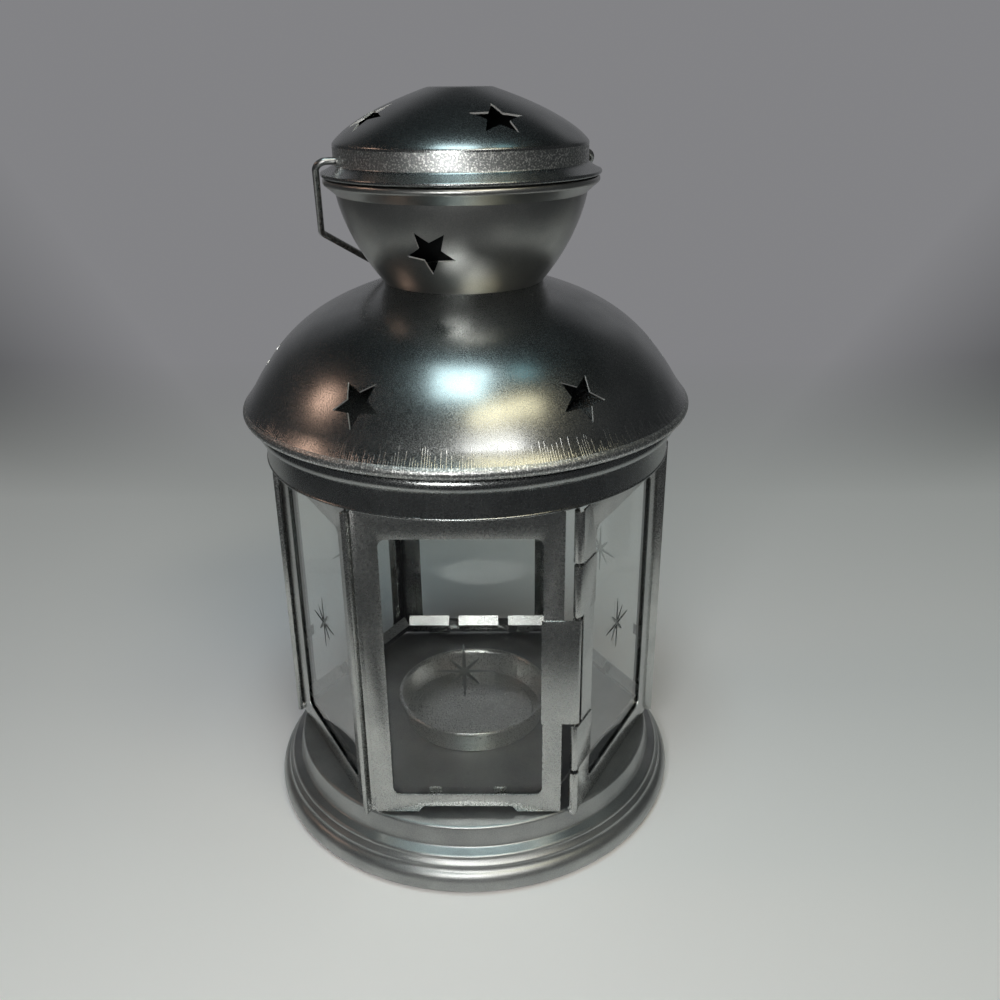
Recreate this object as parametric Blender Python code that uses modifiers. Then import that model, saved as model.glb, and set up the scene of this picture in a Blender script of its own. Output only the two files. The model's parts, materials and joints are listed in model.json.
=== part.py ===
"""Tealight lantern in galvanised sheet: a pressed round base, a six-sided glazed cage with one door,
a domed roof, a bowl and a cap above it, and a wire bail. Metres, +Z up, the door faces -Y."""

import math

import bmesh
import bpy
from mathutils import Matrix, Vector

# General. The origin is on the axis, on the surface that the lantern stands on.
SHEET = 0.0005             # wall of the pressed round pieces
THIN_SHEET = 0.0004        # wall of the folded cage panels and the door
GAP = 0.0003               # clearance between pieces that touch
BITE = 0.0001              # overlap of two shapes that become one piece
TURN_STEPS = 32            # facets round each large pressed piece
CUP_STEPS = 20             # facets round the cup
ROLL_STEPS = 9             # facets of a rolled edge
FOLD_ANGLE = 30.0          # degrees; sharper folds keep a hard edge

# Cage: five panels round a door opening
CAGE_SIDES = 6
CAGE_APOTHEM = 0.0495
CAGE_HEIGHT = 0.0949       # from the foot of the panels to where they narrow to enter the collar
STILE_WIDTH = 0.00753      # sheet between a window and the corner of the cage
SILL_RAIL = 0.0062
HEAD_RAIL = 0.0081
WINDOW_CORNER = 0.0022
SEAM_REACH = 0.0017        # how far a standing seam stands out past its corner
SEAM_SPACING = 0.0007      # from the middle layer of a seam to the layer on each side
JAMB_WIDTH = 0.0034        # strip behind the free edge of the door
JAMB_SET = 0.0005          # half the width of the fold that carries the jamb
NECK_INSET = 0.0028        # how much each side of a panel steps in to enter the collar
LUG_WIDTH = 0.0080
LUG_SPREAD = 0.0150        # from the middle of a panel to the middle of each lug
LUG_REACH = 0.0022
SLOT_CLEARANCE = 0.0004

# Base
DECK_INSET = 0.00076       # the cage's corners stand this far past the deck
DECK_EDGE = 0.0009         # rounding of the deck's edge and of the foot of its step
STEP_HEIGHT = 0.0062
COVE_RISE = 0.0006
BEAD_RADIUS = 0.0010       # the two small beads
BEAD_SETBACK = 0.0012
BASE_SPREAD = 0.0075       # from the deck's edge to the outside of the foot bead
FOOT_BEAD_HEIGHT = 0.0074
FOOT_BEAD_SWEEP = 60.0     # degrees, up and down from its widest line
FOOT_WIDTH = 0.0024

# Tealight cup
CUP_RIM_RADIUS = 0.0247
CUP_FLOOR_RADIUS = 0.0226
CUP_DEPTH = 0.0086
CUP_BEAD = 0.0007
CUP_STEP_RADIUS = 0.0195
CUP_STEP_HEIGHT = 0.0006

# Panes, and the folded tabs that hold them
PANE_THICKNESS = 0.0016
PANE_LAP = 0.0023          # how far a pane reaches past its window at the sides and the head
PANE_DROP = 0.0036         # and at the sill
PANE_EDGE = 0.00015
SILL_TAB_WIDTH = 0.0148
SILL_TAB_PITCH = 0.0186
SILL_TAB_HEIGHT = 0.0040
SMALL_TAB_WIDTH = 0.0037
SMALL_TAB_HEIGHT = 0.0052
SIDE_TAB_REACH = 0.0022
SIDE_TAB_RISE = 0.0203     # from the sill of a window to its side tabs

# Door
DOOR_INSET = 0.00218       # from the corner of the cage to the edge of the door
DOOR_CLEARANCE = 0.0007    # under the door
DOOR_WINDOW_RISE = 0.0006  # how much higher the door's window sits than the panels' windows
DOOR_TAB_SPREAD = 0.0092
GRIP_WIDTH = 0.0252        # notch in the bottom edge that a fingertip pulls
GRIP_HEIGHT = 0.0019
GRIP_SLOPE = 0.0015

# Door hinge. One leaf of the door and two of the right front panel are folded out of their windows,
# and above and below them the panel's own edge is rolled
HINGE_BULGE = 2.3          # degrees that this panel stands out at the hinge, about its other corner
HINGE_INSET = 0.00044      # from the cage's corner back along the panel to the hinge axis
HINGE_STILE_EXTRA = 0.00175  # how much wider the panel's stile is on the hinge side
HINGE_NECK_EXTRA = 0.0028  # and how much further its neck steps in there
KNUCKLE_RADIUS = 0.0012
ROLL_RADIUS = 0.00145      # the panel's own edge, rolled above and below its leaves
STILE_SETBACK = 0.0024     # from the hinge axis to the stile behind the door's leaf
PIN_RADIUS = 0.0005
PIN_RECESS = 0.0012
PIN_SIDES = 12
LEAF_HEIGHT = 0.0325
KNUCKLE_HEIGHT = 0.0147
KNUCKLE_GAP = 0.0011
LEAF_SWEEP = 285.0         # degrees that each leaf is rolled round the pin
SLIT_WIDTH = 0.0012

# Collar between the cage and the roof
COLLAR_HEIGHT = 0.0122
COLLAR_MARGIN = 0.0005     # how far its skirt stands outside the cage's corners
COLLAR_BEAD_RADIUS = 0.0024
COLLAR_LIP_BEAD = 0.0004
COLLAR_LEDGE = 0.0050      # how far its plate reaches inside the panels

# Roof
ROOF_HEIGHT = 0.0346       # from the collar to the neck
ROOF_OVERHANG = 0.0031     # from the collar's bead to the rim
RIM_RISE = 0.0019          # from the collar to the widest line of the rim
RIM_FLANGE = 0.0051        # width of the turned-in flange that rests on the collar
FLARE_WIDTH = 0.0029       # from the foot of the dome out to the rim
FLARE_HEIGHT = 0.0043
NECK_RADIUS = 0.0217
NECK_EASE = 0.0012
DOME_TOP_PULL = 0.0200
DOME_TOP_SLOPE = -17.0     # degrees
DOME_FOOT_PULL = 0.0180
DOME_FOOT_SLOPE = -59.5
EYELET_INSET = 0.0028      # from the neck in to the eyelet
EYELET_FLANGE = 0.0015

# Bowl
BOWL_HEIGHT = 0.0275       # from its foot to the top of its lip
BOWL_FOOT_RISE = 0.0007
BOWL_FOOT_SPREAD = 0.0004
BOWL_FOOT_PULL = 0.0083
BOWL_FOOT_SLOPE = -130.0
BOWL_SHOULDER_INSET = 0.0032
BOWL_SHOULDER_PULL = 0.0080
BOWL_SHOULDER_SLOPE = -100.0
BOWL_LIP_BEAD = 0.0011
SPIGOT_HEIGHT = 0.0066     # upright band inside the cap, which the bail's ends pass through

# Cap
CAP_BAND_RADIUS = 0.0335
CAP_FLARE = 0.0035         # from the band out to the lip
CAP_LIP_BEAD = 0.0006
LIP_STEP = 0.0004          # how much narrower the bowl's lip is than the cap's
CAP_SKIRT_HEIGHT = 0.0027
CAP_BAND_HEIGHT = 0.0050
CAP_SHOULDER = 0.0008
DOME_HEIGHT = 0.0134       # from the band to the crown
CROWN_RADIUS = 0.0084
CROWN_PULL = 0.0090
CROWN_SLOPE = -17.5
SHOULDER_PULL = 0.0070
SHOULDER_SLOPE = -48.0

# Stars cut through the pressed pieces. Turns are degrees round the axis, to the first star
STAR_POINTS = 5
STAR_TIP_RADIUS = 0.0061
STAR_NOTCH_RADIUS = 0.0026
STAR_DEPTH = 0.0030
ROOF_STARS = 6
ROOF_STAR_TURN = -116.35
ROOF_STAR_RISE = 0.0151    # above the collar
ROOF_STAR_TWIST = 5.0      # degrees that one tip leans from straight down
BOWL_STARS = 3
BOWL_STAR_TURN = -103.4
BOWL_STAR_RISE = 0.0117    # above the bowl's foot
BOWL_STAR_TWIST = -2.0
CAP_STARS = 4
CAP_STAR_TURN = -66.0
CAP_STAR_RISE = 0.0068     # above the band
CAP_STAR_TWIST = 10.0

# Bail
WIRE_RADIUS = 0.0009
WIRE_INSET = 0.0022        # how far each end reaches inside the cap's band
BAIL_MARGIN = 0.0008       # between each leg's top and the cap's lip
BAIL_SWEEP_MARGIN = 0.0027  # how far the grip swings outside the cap's lip
BAIL_SLANT_HEIGHT = 0.0156  # from the foot of each leg down to the grip
BAIL_CLOSING = 0.0030      # how far each leg closes in on its way down
BAIL_GRIP_HALF = 0.0160
BAIL_BEND = 0.0026
BAIL_TURN = 21.4           # degrees that the bail's axis is turned from the door
BAIL_STEP = 0.1            # degrees; how finely its rest on the neck is found
PIVOT_RISE = 0.0016        # from the foot of the cap's band to the bail's axis
PIVOT_CLEARANCE = 0.00035

# Sizes that follow from the ones above. The pieces stack up from the base
HALF_ANGLE = math.pi / CAGE_SIDES
HALF_SIDE = CAGE_APOTHEM * math.tan(HALF_ANGLE)
CORNER_RADIUS = CAGE_APOTHEM / math.cos(HALF_ANGLE)
SHEET_LINE = CAGE_APOTHEM - THIN_SHEET / 2
DECK_RADIUS = CORNER_RADIUS - DECK_INSET
BASE_RADIUS = DECK_RADIUS + BASE_SPREAD
STEP_FOOT = FOOT_BEAD_HEIGHT + 4 * BEAD_RADIUS + COVE_RISE
DECK_HEIGHT = STEP_FOOT + STEP_HEIGHT
CAGE_SILL = DECK_HEIGHT + GAP
CAGE_HEAD = CAGE_SILL + CAGE_HEIGHT
WINDOW_WIDTH = 2 * (HALF_SIDE - STILE_WIDTH)
WINDOW_SILL = CAGE_SILL + SILL_RAIL
WINDOW_HEIGHT = CAGE_HEIGHT - SILL_RAIL - HEAD_RAIL
COLLAR_LIP = CAGE_HEAD + 2 * GAP
COLLAR_TOP = COLLAR_LIP + COLLAR_HEIGHT
COLLAR_RADIUS = CORNER_RADIUS + COLLAR_MARGIN
PANEL_TOP = COLLAR_TOP - SHEET - GAP
NECK_HALF_WIDTH = HALF_SIDE - NECK_INSET
PANE_FRONT = -CAGE_APOTHEM + THIN_SHEET + GAP
RIM_RADIUS = COLLAR_RADIUS + COLLAR_BEAD_RADIUS + ROOF_OVERHANG
RIM_HEIGHT = COLLAR_TOP + RIM_RISE
RIM_BEAD = RIM_RISE - GAP
ROOF_TOP = COLLAR_TOP + ROOF_HEIGHT
BOWL_FOOT = ROOF_TOP + GAP
BOWL_TOP = BOWL_FOOT + BOWL_HEIGHT
CAP_FOOT = BOWL_TOP + GAP
CAP_BAND_FOOT = CAP_FOOT + CAP_SKIRT_HEIGHT
CAP_BAND_HEAD = CAP_BAND_FOOT + CAP_BAND_HEIGHT
CROWN_HEIGHT = CAP_BAND_HEAD + DOME_HEIGHT
CAP_LIP_RADIUS = CAP_BAND_RADIUS + CAP_FLARE
BOWL_LIP_RADIUS = CAP_LIP_RADIUS - LIP_STEP
PIVOT_HEIGHT = CAP_BAND_FOOT + PIVOT_RISE
EYELET_RADIUS = NECK_RADIUS - EYELET_INSET
BAIL_REACH = CAP_LIP_RADIUS + BAIL_SWEEP_MARGIN
BAIL_LEG = BAIL_REACH - BAIL_SLANT_HEIGHT
BULGE_PIVOT = Matrix.Translation((HALF_SIDE, -CAGE_APOTHEM, 0))
BULGE = BULGE_PIVOT @ Matrix.Rotation(math.radians(HINGE_BULGE), 4, "Z") @ BULGE_PIVOT.inverted()
PANEL_KNUCKLE = Vector((HINGE_INSET - HALF_SIDE, BITE - THIN_SHEET - CAGE_APOTHEM + KNUCKLE_RADIUS, 0))
HINGE_AXIS = Matrix.Rotation(2 * HALF_ANGLE, 4, "Z") @ BULGE @ PANEL_KNUCKLE
HINGE_MIDDLE = CAGE_SILL + CAGE_HEIGHT / 2
LEAF_LOW = HINGE_MIDDLE - LEAF_HEIGHT / 2
LEAF_HIGH = HINGE_MIDDLE + LEAF_HEIGHT / 2
PIN_HALF_LENGTH = LEAF_HEIGHT / 2 + KNUCKLE_GAP + KNUCKLE_HEIGHT - PIN_RECESS
DOOR_WIDTH = 2 * (HALF_SIDE - DOOR_INSET)
DOOR_SILL = CAGE_SILL + DOOR_CLEARANCE
DOOR_WINDOW_SILL = WINDOW_SILL + DOOR_WINDOW_RISE
DOOR_FRONT = HINGE_AXIS.y - KNUCKLE_RADIUS + THIN_SHEET - BITE
DOOR_PANE_FRONT = DOOR_FRONT + THIN_SHEET + GAP

# Plan directions of a panel drawn facing the front: out through its corners, and square to the right one
LEFT_OUT = Vector((-math.sin(HALF_ANGLE), -math.cos(HALF_ANGLE)))
RIGHT_OUT = Vector((math.sin(HALF_ANGLE), -math.cos(HALF_ANGLE)))
RIGHT_ROUND = Vector((math.cos(HALF_ANGLE), math.sin(HALF_ANGLE)))
NEXT_SIDE = Vector((math.cos(2 * HALF_ANGLE), math.sin(2 * HALF_ANGLE)))

# The names of the panels, counted round from the door
PANELS = ("front_right", "back_right", "back", "back_left", "front_left")


def side_place(index):
    """Turns what is drawn facing the front to its side of the cage."""
    turn = Matrix.Rotation(index * 2 * HALF_ANGLE, 4, "Z")
    return turn @ BULGE if PANELS[index - 1] == "front_right" else turn


def add_collection(name):
    """A new collection in the scene."""
    collection = bpy.data.collections.new(name)
    bpy.context.scene.collection.children.link(collection)
    return collection


for old in list(bpy.data.objects):
    bpy.data.objects.remove(old, do_unlink=True)
LANTERN = add_collection("tealight_lantern")
CUTTERS = add_collection("cutters")
CUTTERS.hide_render = True


def add_material(name, colour, roughness, metallic, alpha=1.0):
    """A Principled BSDF of one colour."""
    material = bpy.data.materials.new(name)
    material.use_nodes = True
    shader = material.node_tree.nodes["Principled BSDF"]
    shader.inputs["Base Color"].default_value = (*colour, 1.0)
    shader.inputs["Roughness"].default_value = roughness
    shader.inputs["Metallic"].default_value = metallic
    shader.inputs["Alpha"].default_value = alpha
    return material


ZINC = add_material("galvanised_sheet", (0.55, 0.55, 0.53), 0.38, 1.0)
BRIGHT_ZINC = add_material("bright_galvanised_sheet", (0.66, 0.66, 0.64), 0.28, 1.0)
WIRE = add_material("drawn_wire", (0.42, 0.42, 0.41), 0.35, 1.0)
GLASS = add_material("clear_glass", (0.86, 0.92, 0.90), 0.05, 0.0, 0.35)


def add_object(name, data, material, parent=None):
    """A named sub-part in the lantern's collection."""
    piece = bpy.data.objects.new(name, data)
    LANTERN.objects.link(piece)
    data.materials.append(material)
    piece.parent = parent
    return piece


def add_helper(name, mesh):
    """A mesh as a hidden helper for a Boolean."""
    piece = bpy.data.objects.new(name, mesh)
    CUTTERS.objects.link(piece)
    piece.hide_render = True
    piece.display_type = "WIRE"
    return piece


def add_boolean(piece, mesh, operation):
    """Cuts a piece with a mesh, joins the two or keeps what they share."""
    modifier = piece.modifiers.new(mesh.name, "BOOLEAN")
    modifier.operation = operation
    modifier.solver = "EXACT"
    modifier.object = add_helper(f"{piece.name}_{mesh.name}", mesh)
    modifier.object.parent = piece


def prism_mesh(name, outline, low, high, axes=None):
    """A flat outline raised from one height to another, along Z or along the third of the given axes."""
    mesh = bpy.data.meshes.new(name)
    work = bmesh.new()
    floor = work.faces.new([work.verts.new((x, y, low)) for x, y in outline])
    raised = bmesh.ops.extrude_face_region(work, geom=[floor])["geom"]
    corners = [item for item in raised if isinstance(item, bmesh.types.BMVert)]
    bmesh.ops.translate(work, verts=corners, vec=(0, 0, high - low))
    bmesh.ops.recalc_face_normals(work, faces=work.faces)
    if axes:
        bmesh.ops.transform(work, matrix=Matrix(axes).transposed().to_4x4(), verts=work.verts)
    work.to_mesh(mesh)
    work.free()
    return mesh


# Axes that stand a flat outline up: across and up, raised backwards; or depth and up, raised to the right
FACING = ((1, 0, 0), (0, 0, 1), (0, -1, 0))
EDGEWISE = ((0, 1, 0), (0, 0, 1), (1, 0, 0))


def box_mesh(name, low, high):
    """A box between two corners."""
    mesh = bpy.data.meshes.new(name)
    work = bmesh.new()
    size = Vector(high) - Vector(low)
    place = Matrix.Translation((Vector(high) + Vector(low)) / 2) @ Matrix.Diagonal((*size, 1))
    bmesh.ops.create_cube(work, size=1, matrix=place)
    work.to_mesh(mesh)
    work.free()
    return mesh


def rod_mesh(name, radius, low, high, sides):
    """A closed cylinder along Z."""
    mesh = bpy.data.meshes.new(name)
    work = bmesh.new()
    place = Matrix.Translation((0, 0, (low + high) / 2))
    bmesh.ops.create_cone(
        work, cap_ends=True, segments=sides, radius1=radius, radius2=radius, depth=high - low, matrix=place)
    work.to_mesh(mesh)
    work.free()
    return mesh


def joined_mesh(name, meshes):
    """Separate closed meshes as one mesh."""
    mesh = bpy.data.meshes.new(name)
    work = bmesh.new()
    for part in meshes:
        work.from_mesh(part)
    work.to_mesh(mesh)
    work.free()
    return mesh


def shade(mesh):
    """Smooth shading with sharp folds."""
    mesh.shade_smooth()
    mesh.set_sharp_from_angle(angle=math.radians(FOLD_ANGLE))


def add_turned_shell(name, profile, material, steps):
    """A pressed sheet: its outer line turned about Z, with the wall inside that line."""
    mesh = bpy.data.meshes.new(name)
    edges = [(index, index + 1) for index in range(len(profile) - 1)]
    mesh.from_pydata([(radius, 0, height) for radius, height in profile], edges, [])
    piece = add_object(name, mesh, material)
    screw = piece.modifiers.new("turn", "SCREW")
    screw.steps = steps
    screw.render_steps = steps
    screw.use_merge_vertices = True
    screw.merge_threshold = 0.00002
    screw.use_smooth_shade = True
    wall = piece.modifiers.new("wall", "SOLIDIFY")
    wall.thickness = SHEET
    wall.offset = -1
    wall.use_even_offset = True
    return piece


def arc(centre, radius, start, end, count):
    """Points on an arc, with its angles in degrees."""
    points = []
    for index in range(count + 1):
        angle = math.radians(start + (end - start) * index / count)
        points.append((centre[0] + radius * math.cos(angle), centre[1] + radius * math.sin(angle)))
    return points


def pulled_curve(start, start_pull, start_slope, end, end_pull, end_slope, count):
    """A smooth curve between two points, from the slope and the length of pull at each."""
    first, last = Vector(start), Vector(end)
    slopes = [Vector((math.cos(math.radians(slope)), math.sin(math.radians(slope))))
              for slope in (start_slope, end_slope)]
    second = first + slopes[0] * start_pull
    third = last - slopes[1] * end_pull
    points = []
    for index in range(count + 1):
        share = index / count
        rest = 1 - share
        point = (first * rest ** 3 + second * 3 * rest ** 2 * share
                 + third * 3 * rest * share ** 2 + last * share ** 3)
        points.append(tuple(point))
    return points


def strip_outline(path, sheet=THIN_SHEET):
    """The outline of a folded strip of sheet, from the line along its middle."""
    points = [Vector(point) for point in path]
    left, right = [], []
    for index, point in enumerate(points):
        before = (point - points[index - 1]).normalized() if index else None
        after = (points[index + 1] - point).normalized() if index + 1 < len(points) else None
        along = ((before or after) + (after or before)).normalized()
        normal = Vector((-along.y, along.x)) * sheet / 2 / along.dot(after or before)
        left.append(point + normal)
        right.append(point - normal)
    return left + right[::-1]


def rounded_window(low, left_extra):
    """The outline of a window with round corners that stands on a height."""
    corners = ((1, 1, 0), (-1, 1, 90), (-1, -1, 180), (1, -1, 270))
    points = []
    for across, up, start in corners:
        extra = left_extra if across < 0 else 0
        centre = (across * (WINDOW_WIDTH / 2 - extra - WINDOW_CORNER),
                  low + WINDOW_HEIGHT / 2 + up * (WINDOW_HEIGHT / 2 - WINDOW_CORNER))
        points += arc(centre, WINDOW_CORNER, start, start + 90, 4)
    return points


def window_mesh(low, front, left_extra=0.0):
    """A cutter for a window, through an upright sheet whose outer face is at a depth."""
    through = SEAM_REACH
    outline = rounded_window(low, left_extra)
    return prism_mesh("window", outline, -front - through, -front + through, FACING)


def point_on(profile, height):
    """Radius of a turned profile at a height, and its outward direction there."""
    for (r1, z1), (r2, z2) in zip(profile, profile[1:]):
        if min(z1, z2) <= height <= max(z1, z2) and z1 != z2:
            radius = r1 + (r2 - r1) * (height - z1) / (z2 - z1)
            return radius, Vector((z1 - z2, r2 - r1)).normalized()
    raise ValueError("the profile doesn't reach this height")


def star_outline(twist):
    """A star with one tip down, turned by some degrees."""
    points = []
    for index in range(2 * STAR_POINTS):
        angle = math.radians(twist - 90 + 180 * index / STAR_POINTS)
        radius = STAR_NOTCH_RADIUS if index % 2 else STAR_TIP_RADIUS
        points.append((radius * math.cos(angle), radius * math.sin(angle)))
    return points


def cut_stars(piece, profile, count, turn, height, twist):
    """Cuts evenly spaced stars square through a turned shell."""
    radius, outward = point_on(profile, height)
    stars = []
    for index in range(count):
        angle = math.radians(turn + 360 * index / count)
        round_axis = Vector((-math.sin(angle), math.cos(angle), 0))
        normal = Vector((outward.x * math.cos(angle), outward.x * math.sin(angle), outward.y))
        star = prism_mesh("star", star_outline(twist), -STAR_DEPTH, STAR_DEPTH,
                          (round_axis, normal.cross(round_axis), normal))
        star.transform(Matrix.Translation((radius * math.cos(angle), radius * math.sin(angle), height)))
        stars.append(star)
    add_boolean(piece, joined_mesh("stars", stars), "DIFFERENCE")


def cut_lug_slots(piece, low, high):
    """Slots for the lugs of the five panels, through the deck or the collar's plate."""
    slots = []
    for index in range(1, CAGE_SIDES):
        for side in (-1, 1):
            left = side * LUG_SPREAD - LUG_WIDTH / 2 - SLOT_CLEARANCE
            near = (left, -CAGE_APOTHEM - SLOT_CLEARANCE, low)
            far = (left + LUG_WIDTH + 2 * SLOT_CLEARANCE, -CAGE_APOTHEM + THIN_SHEET + SLOT_CLEARANCE, high)
            slot = box_mesh("slot", near, far)
            slot.transform(side_place(index))
            slots.append(slot)
    add_boolean(piece, joined_mesh("lug_slots", slots), "DIFFERENCE")


def add_base_pan():
    """The pressed base: a deck, its step and cove, two small beads, a bold foot bead and a turned-in foot."""
    upper = (BASE_RADIUS - 3 * BEAD_SETBACK - BEAD_RADIUS, FOOT_BEAD_HEIGHT + 3 * BEAD_RADIUS)
    lower = (BASE_RADIUS - 2 * BEAD_SETBACK - BEAD_RADIUS, FOOT_BEAD_HEIGHT + BEAD_RADIUS)
    bead = FOOT_BEAD_HEIGHT / 2 / math.sin(math.radians(FOOT_BEAD_SWEEP))
    foot = arc((BASE_RADIUS - bead, FOOT_BEAD_HEIGHT / 2), bead, FOOT_BEAD_SWEEP, -FOOT_BEAD_SWEEP, 4)
    profile = [
        (0, DECK_HEIGHT),
        *arc((DECK_RADIUS - DECK_EDGE, DECK_HEIGHT - DECK_EDGE), DECK_EDGE, 90, 8, 2),
        (DECK_RADIUS + DECK_EDGE, STEP_FOOT + DECK_EDGE),
        (DECK_RADIUS + 2 * DECK_EDGE, STEP_FOOT),
        *arc(upper, BEAD_RADIUS, 90, -10, 2),
        *arc(lower, BEAD_RADIUS, 60, -20, 2),
        *foot,
        (foot[-1][0] - FOOT_WIDTH, 0),
    ]
    base = add_turned_shell("base_pan", profile, ZINC, TURN_STEPS)
    cut_lug_slots(base, DECK_HEIGHT - 3 * SHEET, DECK_HEIGHT + SHEET)


def add_tealight_cup():
    """The dish that holds the candle, with a rolled rim and a step pressed in its floor."""
    foot = DECK_HEIGHT + GAP
    rim = foot + CUP_DEPTH - CUP_BEAD
    profile = [
        *arc((CUP_RIM_RADIUS - CUP_BEAD, rim), CUP_BEAD, 150, -60, 4),
        (CUP_RIM_RADIUS - CUP_BEAD, rim - 2 * CUP_BEAD),
        *arc((CUP_FLOOR_RADIUS - CUP_BEAD, foot + CUP_BEAD), CUP_BEAD, -10, -90, 2),
        (CUP_STEP_RADIUS, foot),
        (CUP_STEP_RADIUS - CUP_STEP_HEIGHT, foot + CUP_STEP_HEIGHT),
        (0, foot + CUP_STEP_HEIGHT),
    ]
    add_turned_shell("tealight_cup", profile, BRIGHT_ZINC, CUP_STEPS)


def seam_tip():
    """Distance from the axis to the middle of the sheet across the top of a standing seam."""
    return CORNER_RADIUS + SEAM_REACH - THIN_SHEET / 2


def plain_flange():
    """Plan line at the left corner of a panel: the flange that the neighbour's seam wraps."""
    return [LEFT_OUT * (seam_tip() - THIN_SHEET - GAP), LEFT_OUT * (SHEET_LINE / math.cos(HALF_ANGLE))]


def wrapped_flange():
    """Plan line at the right corner of a panel: a fold that wraps the neighbour's flange."""
    run = SHEET_LINE / math.cos(HALF_ANGLE) - SEAM_SPACING * math.tan(HALF_ANGLE)
    near = -RIGHT_ROUND * SEAM_SPACING
    far = RIGHT_ROUND * SEAM_SPACING
    return [RIGHT_OUT * run + near, RIGHT_OUT * seam_tip() + near,
            RIGHT_OUT * seam_tip() + far, RIGHT_OUT * (CORNER_RADIUS + THIN_SHEET / 2) + far]


def jamb_flange():
    """Plan line at the door's free edge: a narrow fold that runs on as a strip behind the door."""
    corner = SHEET_LINE / math.cos(HALF_ANGLE)
    run = JAMB_SET * math.tan(HALF_ANGLE)
    near = -RIGHT_ROUND * JAMB_SET
    far = RIGHT_ROUND * JAMB_SET
    strip = RIGHT_OUT * (corner - run) + far
    return [RIGHT_OUT * (corner - run) + near, RIGHT_OUT * seam_tip() + near,
            RIGHT_OUT * seam_tip() + far, strip, strip + NEXT_SIDE * JAMB_WIDTH]


def rolled_edge():
    """Plan line at the hinge: the panel's left edge rolled back into a tube round the hinge axis."""
    radius = ROLL_RADIUS - THIN_SHEET / 2
    join = -math.degrees(math.asin((PANEL_KNUCKLE.y + SHEET_LINE) / radius))
    return arc(PANEL_KNUCKLE.xy, radius, -330, join, ROLL_STEPS)


def panel_face(left_extra):
    """Front outline of a panel, with its neck inside the collar and the lugs at its head and foot."""
    wide = 2 * HALF_SIDE
    neck_left = left_extra - NECK_HALF_WIDTH
    lugs = [(side * LUG_SPREAD - LUG_WIDTH / 2, side * LUG_SPREAD + LUG_WIDTH / 2) for side in (-1, 1)]
    low, high = CAGE_SILL - GAP - SHEET - LUG_REACH, COLLAR_TOP + LUG_REACH
    foot = [(-wide, CAGE_SILL)]
    head = [(neck_left, PANEL_TOP)]
    for left, right in lugs:
        foot += [(left, CAGE_SILL), (left, low), (right, low), (right, CAGE_SILL)]
        head += [(left, PANEL_TOP), (left, high), (right, high), (right, PANEL_TOP)]
    foot.append((wide, CAGE_SILL))
    head.append((NECK_HALF_WIDTH, PANEL_TOP))
    shoulder = [(wide, CAGE_HEAD), (NECK_HALF_WIDTH, CAGE_HEAD)]
    return foot + shoulder + head[::-1] + [(neck_left, CAGE_HEAD), (-wide, CAGE_HEAD)]


def folded_tab(front, pane_edge, reach, middle, width, downwards=False):
    """A tab folded round the lower or upper edge of a pane, in one with the sheet in front of it."""
    side = -1 if downwards else 1
    behind = front + THIN_SHEET + 2 * GAP + PANE_THICKNESS + THIN_SHEET / 2
    level = pane_edge - side * (GAP + THIN_SHEET / 2)
    path = [(front + THIN_SHEET / 2, level), (behind, level), (behind, level + side * reach)]
    return prism_mesh("tab", strip_outline(path), middle - width / 2, middle + width / 2, EDGEWISE)


def side_tab(front, sill, side):
    """A tab folded round the left or right edge of a pane, in one with the sheet in front of it."""
    low = sill + SIDE_TAB_RISE
    behind = front + THIN_SHEET + 2 * GAP + PANE_THICKNESS + THIN_SHEET / 2
    across = side * (WINDOW_WIDTH / 2 + PANE_LAP + GAP + THIN_SHEET / 2)
    path = [(across, front + THIN_SHEET / 2), (across, behind), (across - side * SIDE_TAB_REACH, behind)]
    return prism_mesh("tab", strip_outline(path), low, low + SMALL_TAB_WIDTH)


def pane_mesh(name, front, sill):
    """A cut pane behind a window, with its drop below the sill."""
    half = WINDOW_WIDTH / 2 + PANE_LAP
    top = sill + WINDOW_HEIGHT + PANE_LAP
    return box_mesh(name, (-half, front, sill - PANE_DROP), (half, front + PANE_THICKNESS, top))


def add_pane(name, front, sill, parent=None):
    """A pane of clear glass with its edges just broken."""
    pane = add_object(name, pane_mesh(name, front, sill), GLASS, parent)
    edge = pane.modifiers.new("edge", "BEVEL")
    edge.width = PANE_EDGE
    edge.segments = 1
    return pane


def panel_tabs():
    """The tabs of a panel: three at the sill, two at the head and one at each side."""
    front = -CAGE_APOTHEM
    bottom = WINDOW_SILL - PANE_DROP
    top = WINDOW_SILL + WINDOW_HEIGHT + PANE_LAP
    reach = SILL_TAB_HEIGHT - THIN_SHEET / 2
    tabs = [folded_tab(front, bottom, reach, place * SILL_TAB_PITCH, SILL_TAB_WIDTH) for place in (-1, 0, 1)]
    tabs += [folded_tab(front, top, SMALL_TAB_WIDTH, side * LUG_SPREAD, LUG_WIDTH, True) for side in (-1, 1)]
    tabs += [side_tab(front, WINDOW_SILL, side) for side in (-1, 1)]
    return joined_mesh("tabs", tabs)


def leaf_strip(name, centre, start, turn, low, high):
    """A strip folded out of a window, laid over the stile and rolled back round the hinge pin."""
    radius = KNUCKLE_RADIUS - THIN_SHEET / 2
    path = [(start, centre.y - radius)]
    path += arc(centre.xy, radius, -90, -90 + turn, ROLL_STEPS)
    return prism_mesh(name, strip_outline(path), low, high)


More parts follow.
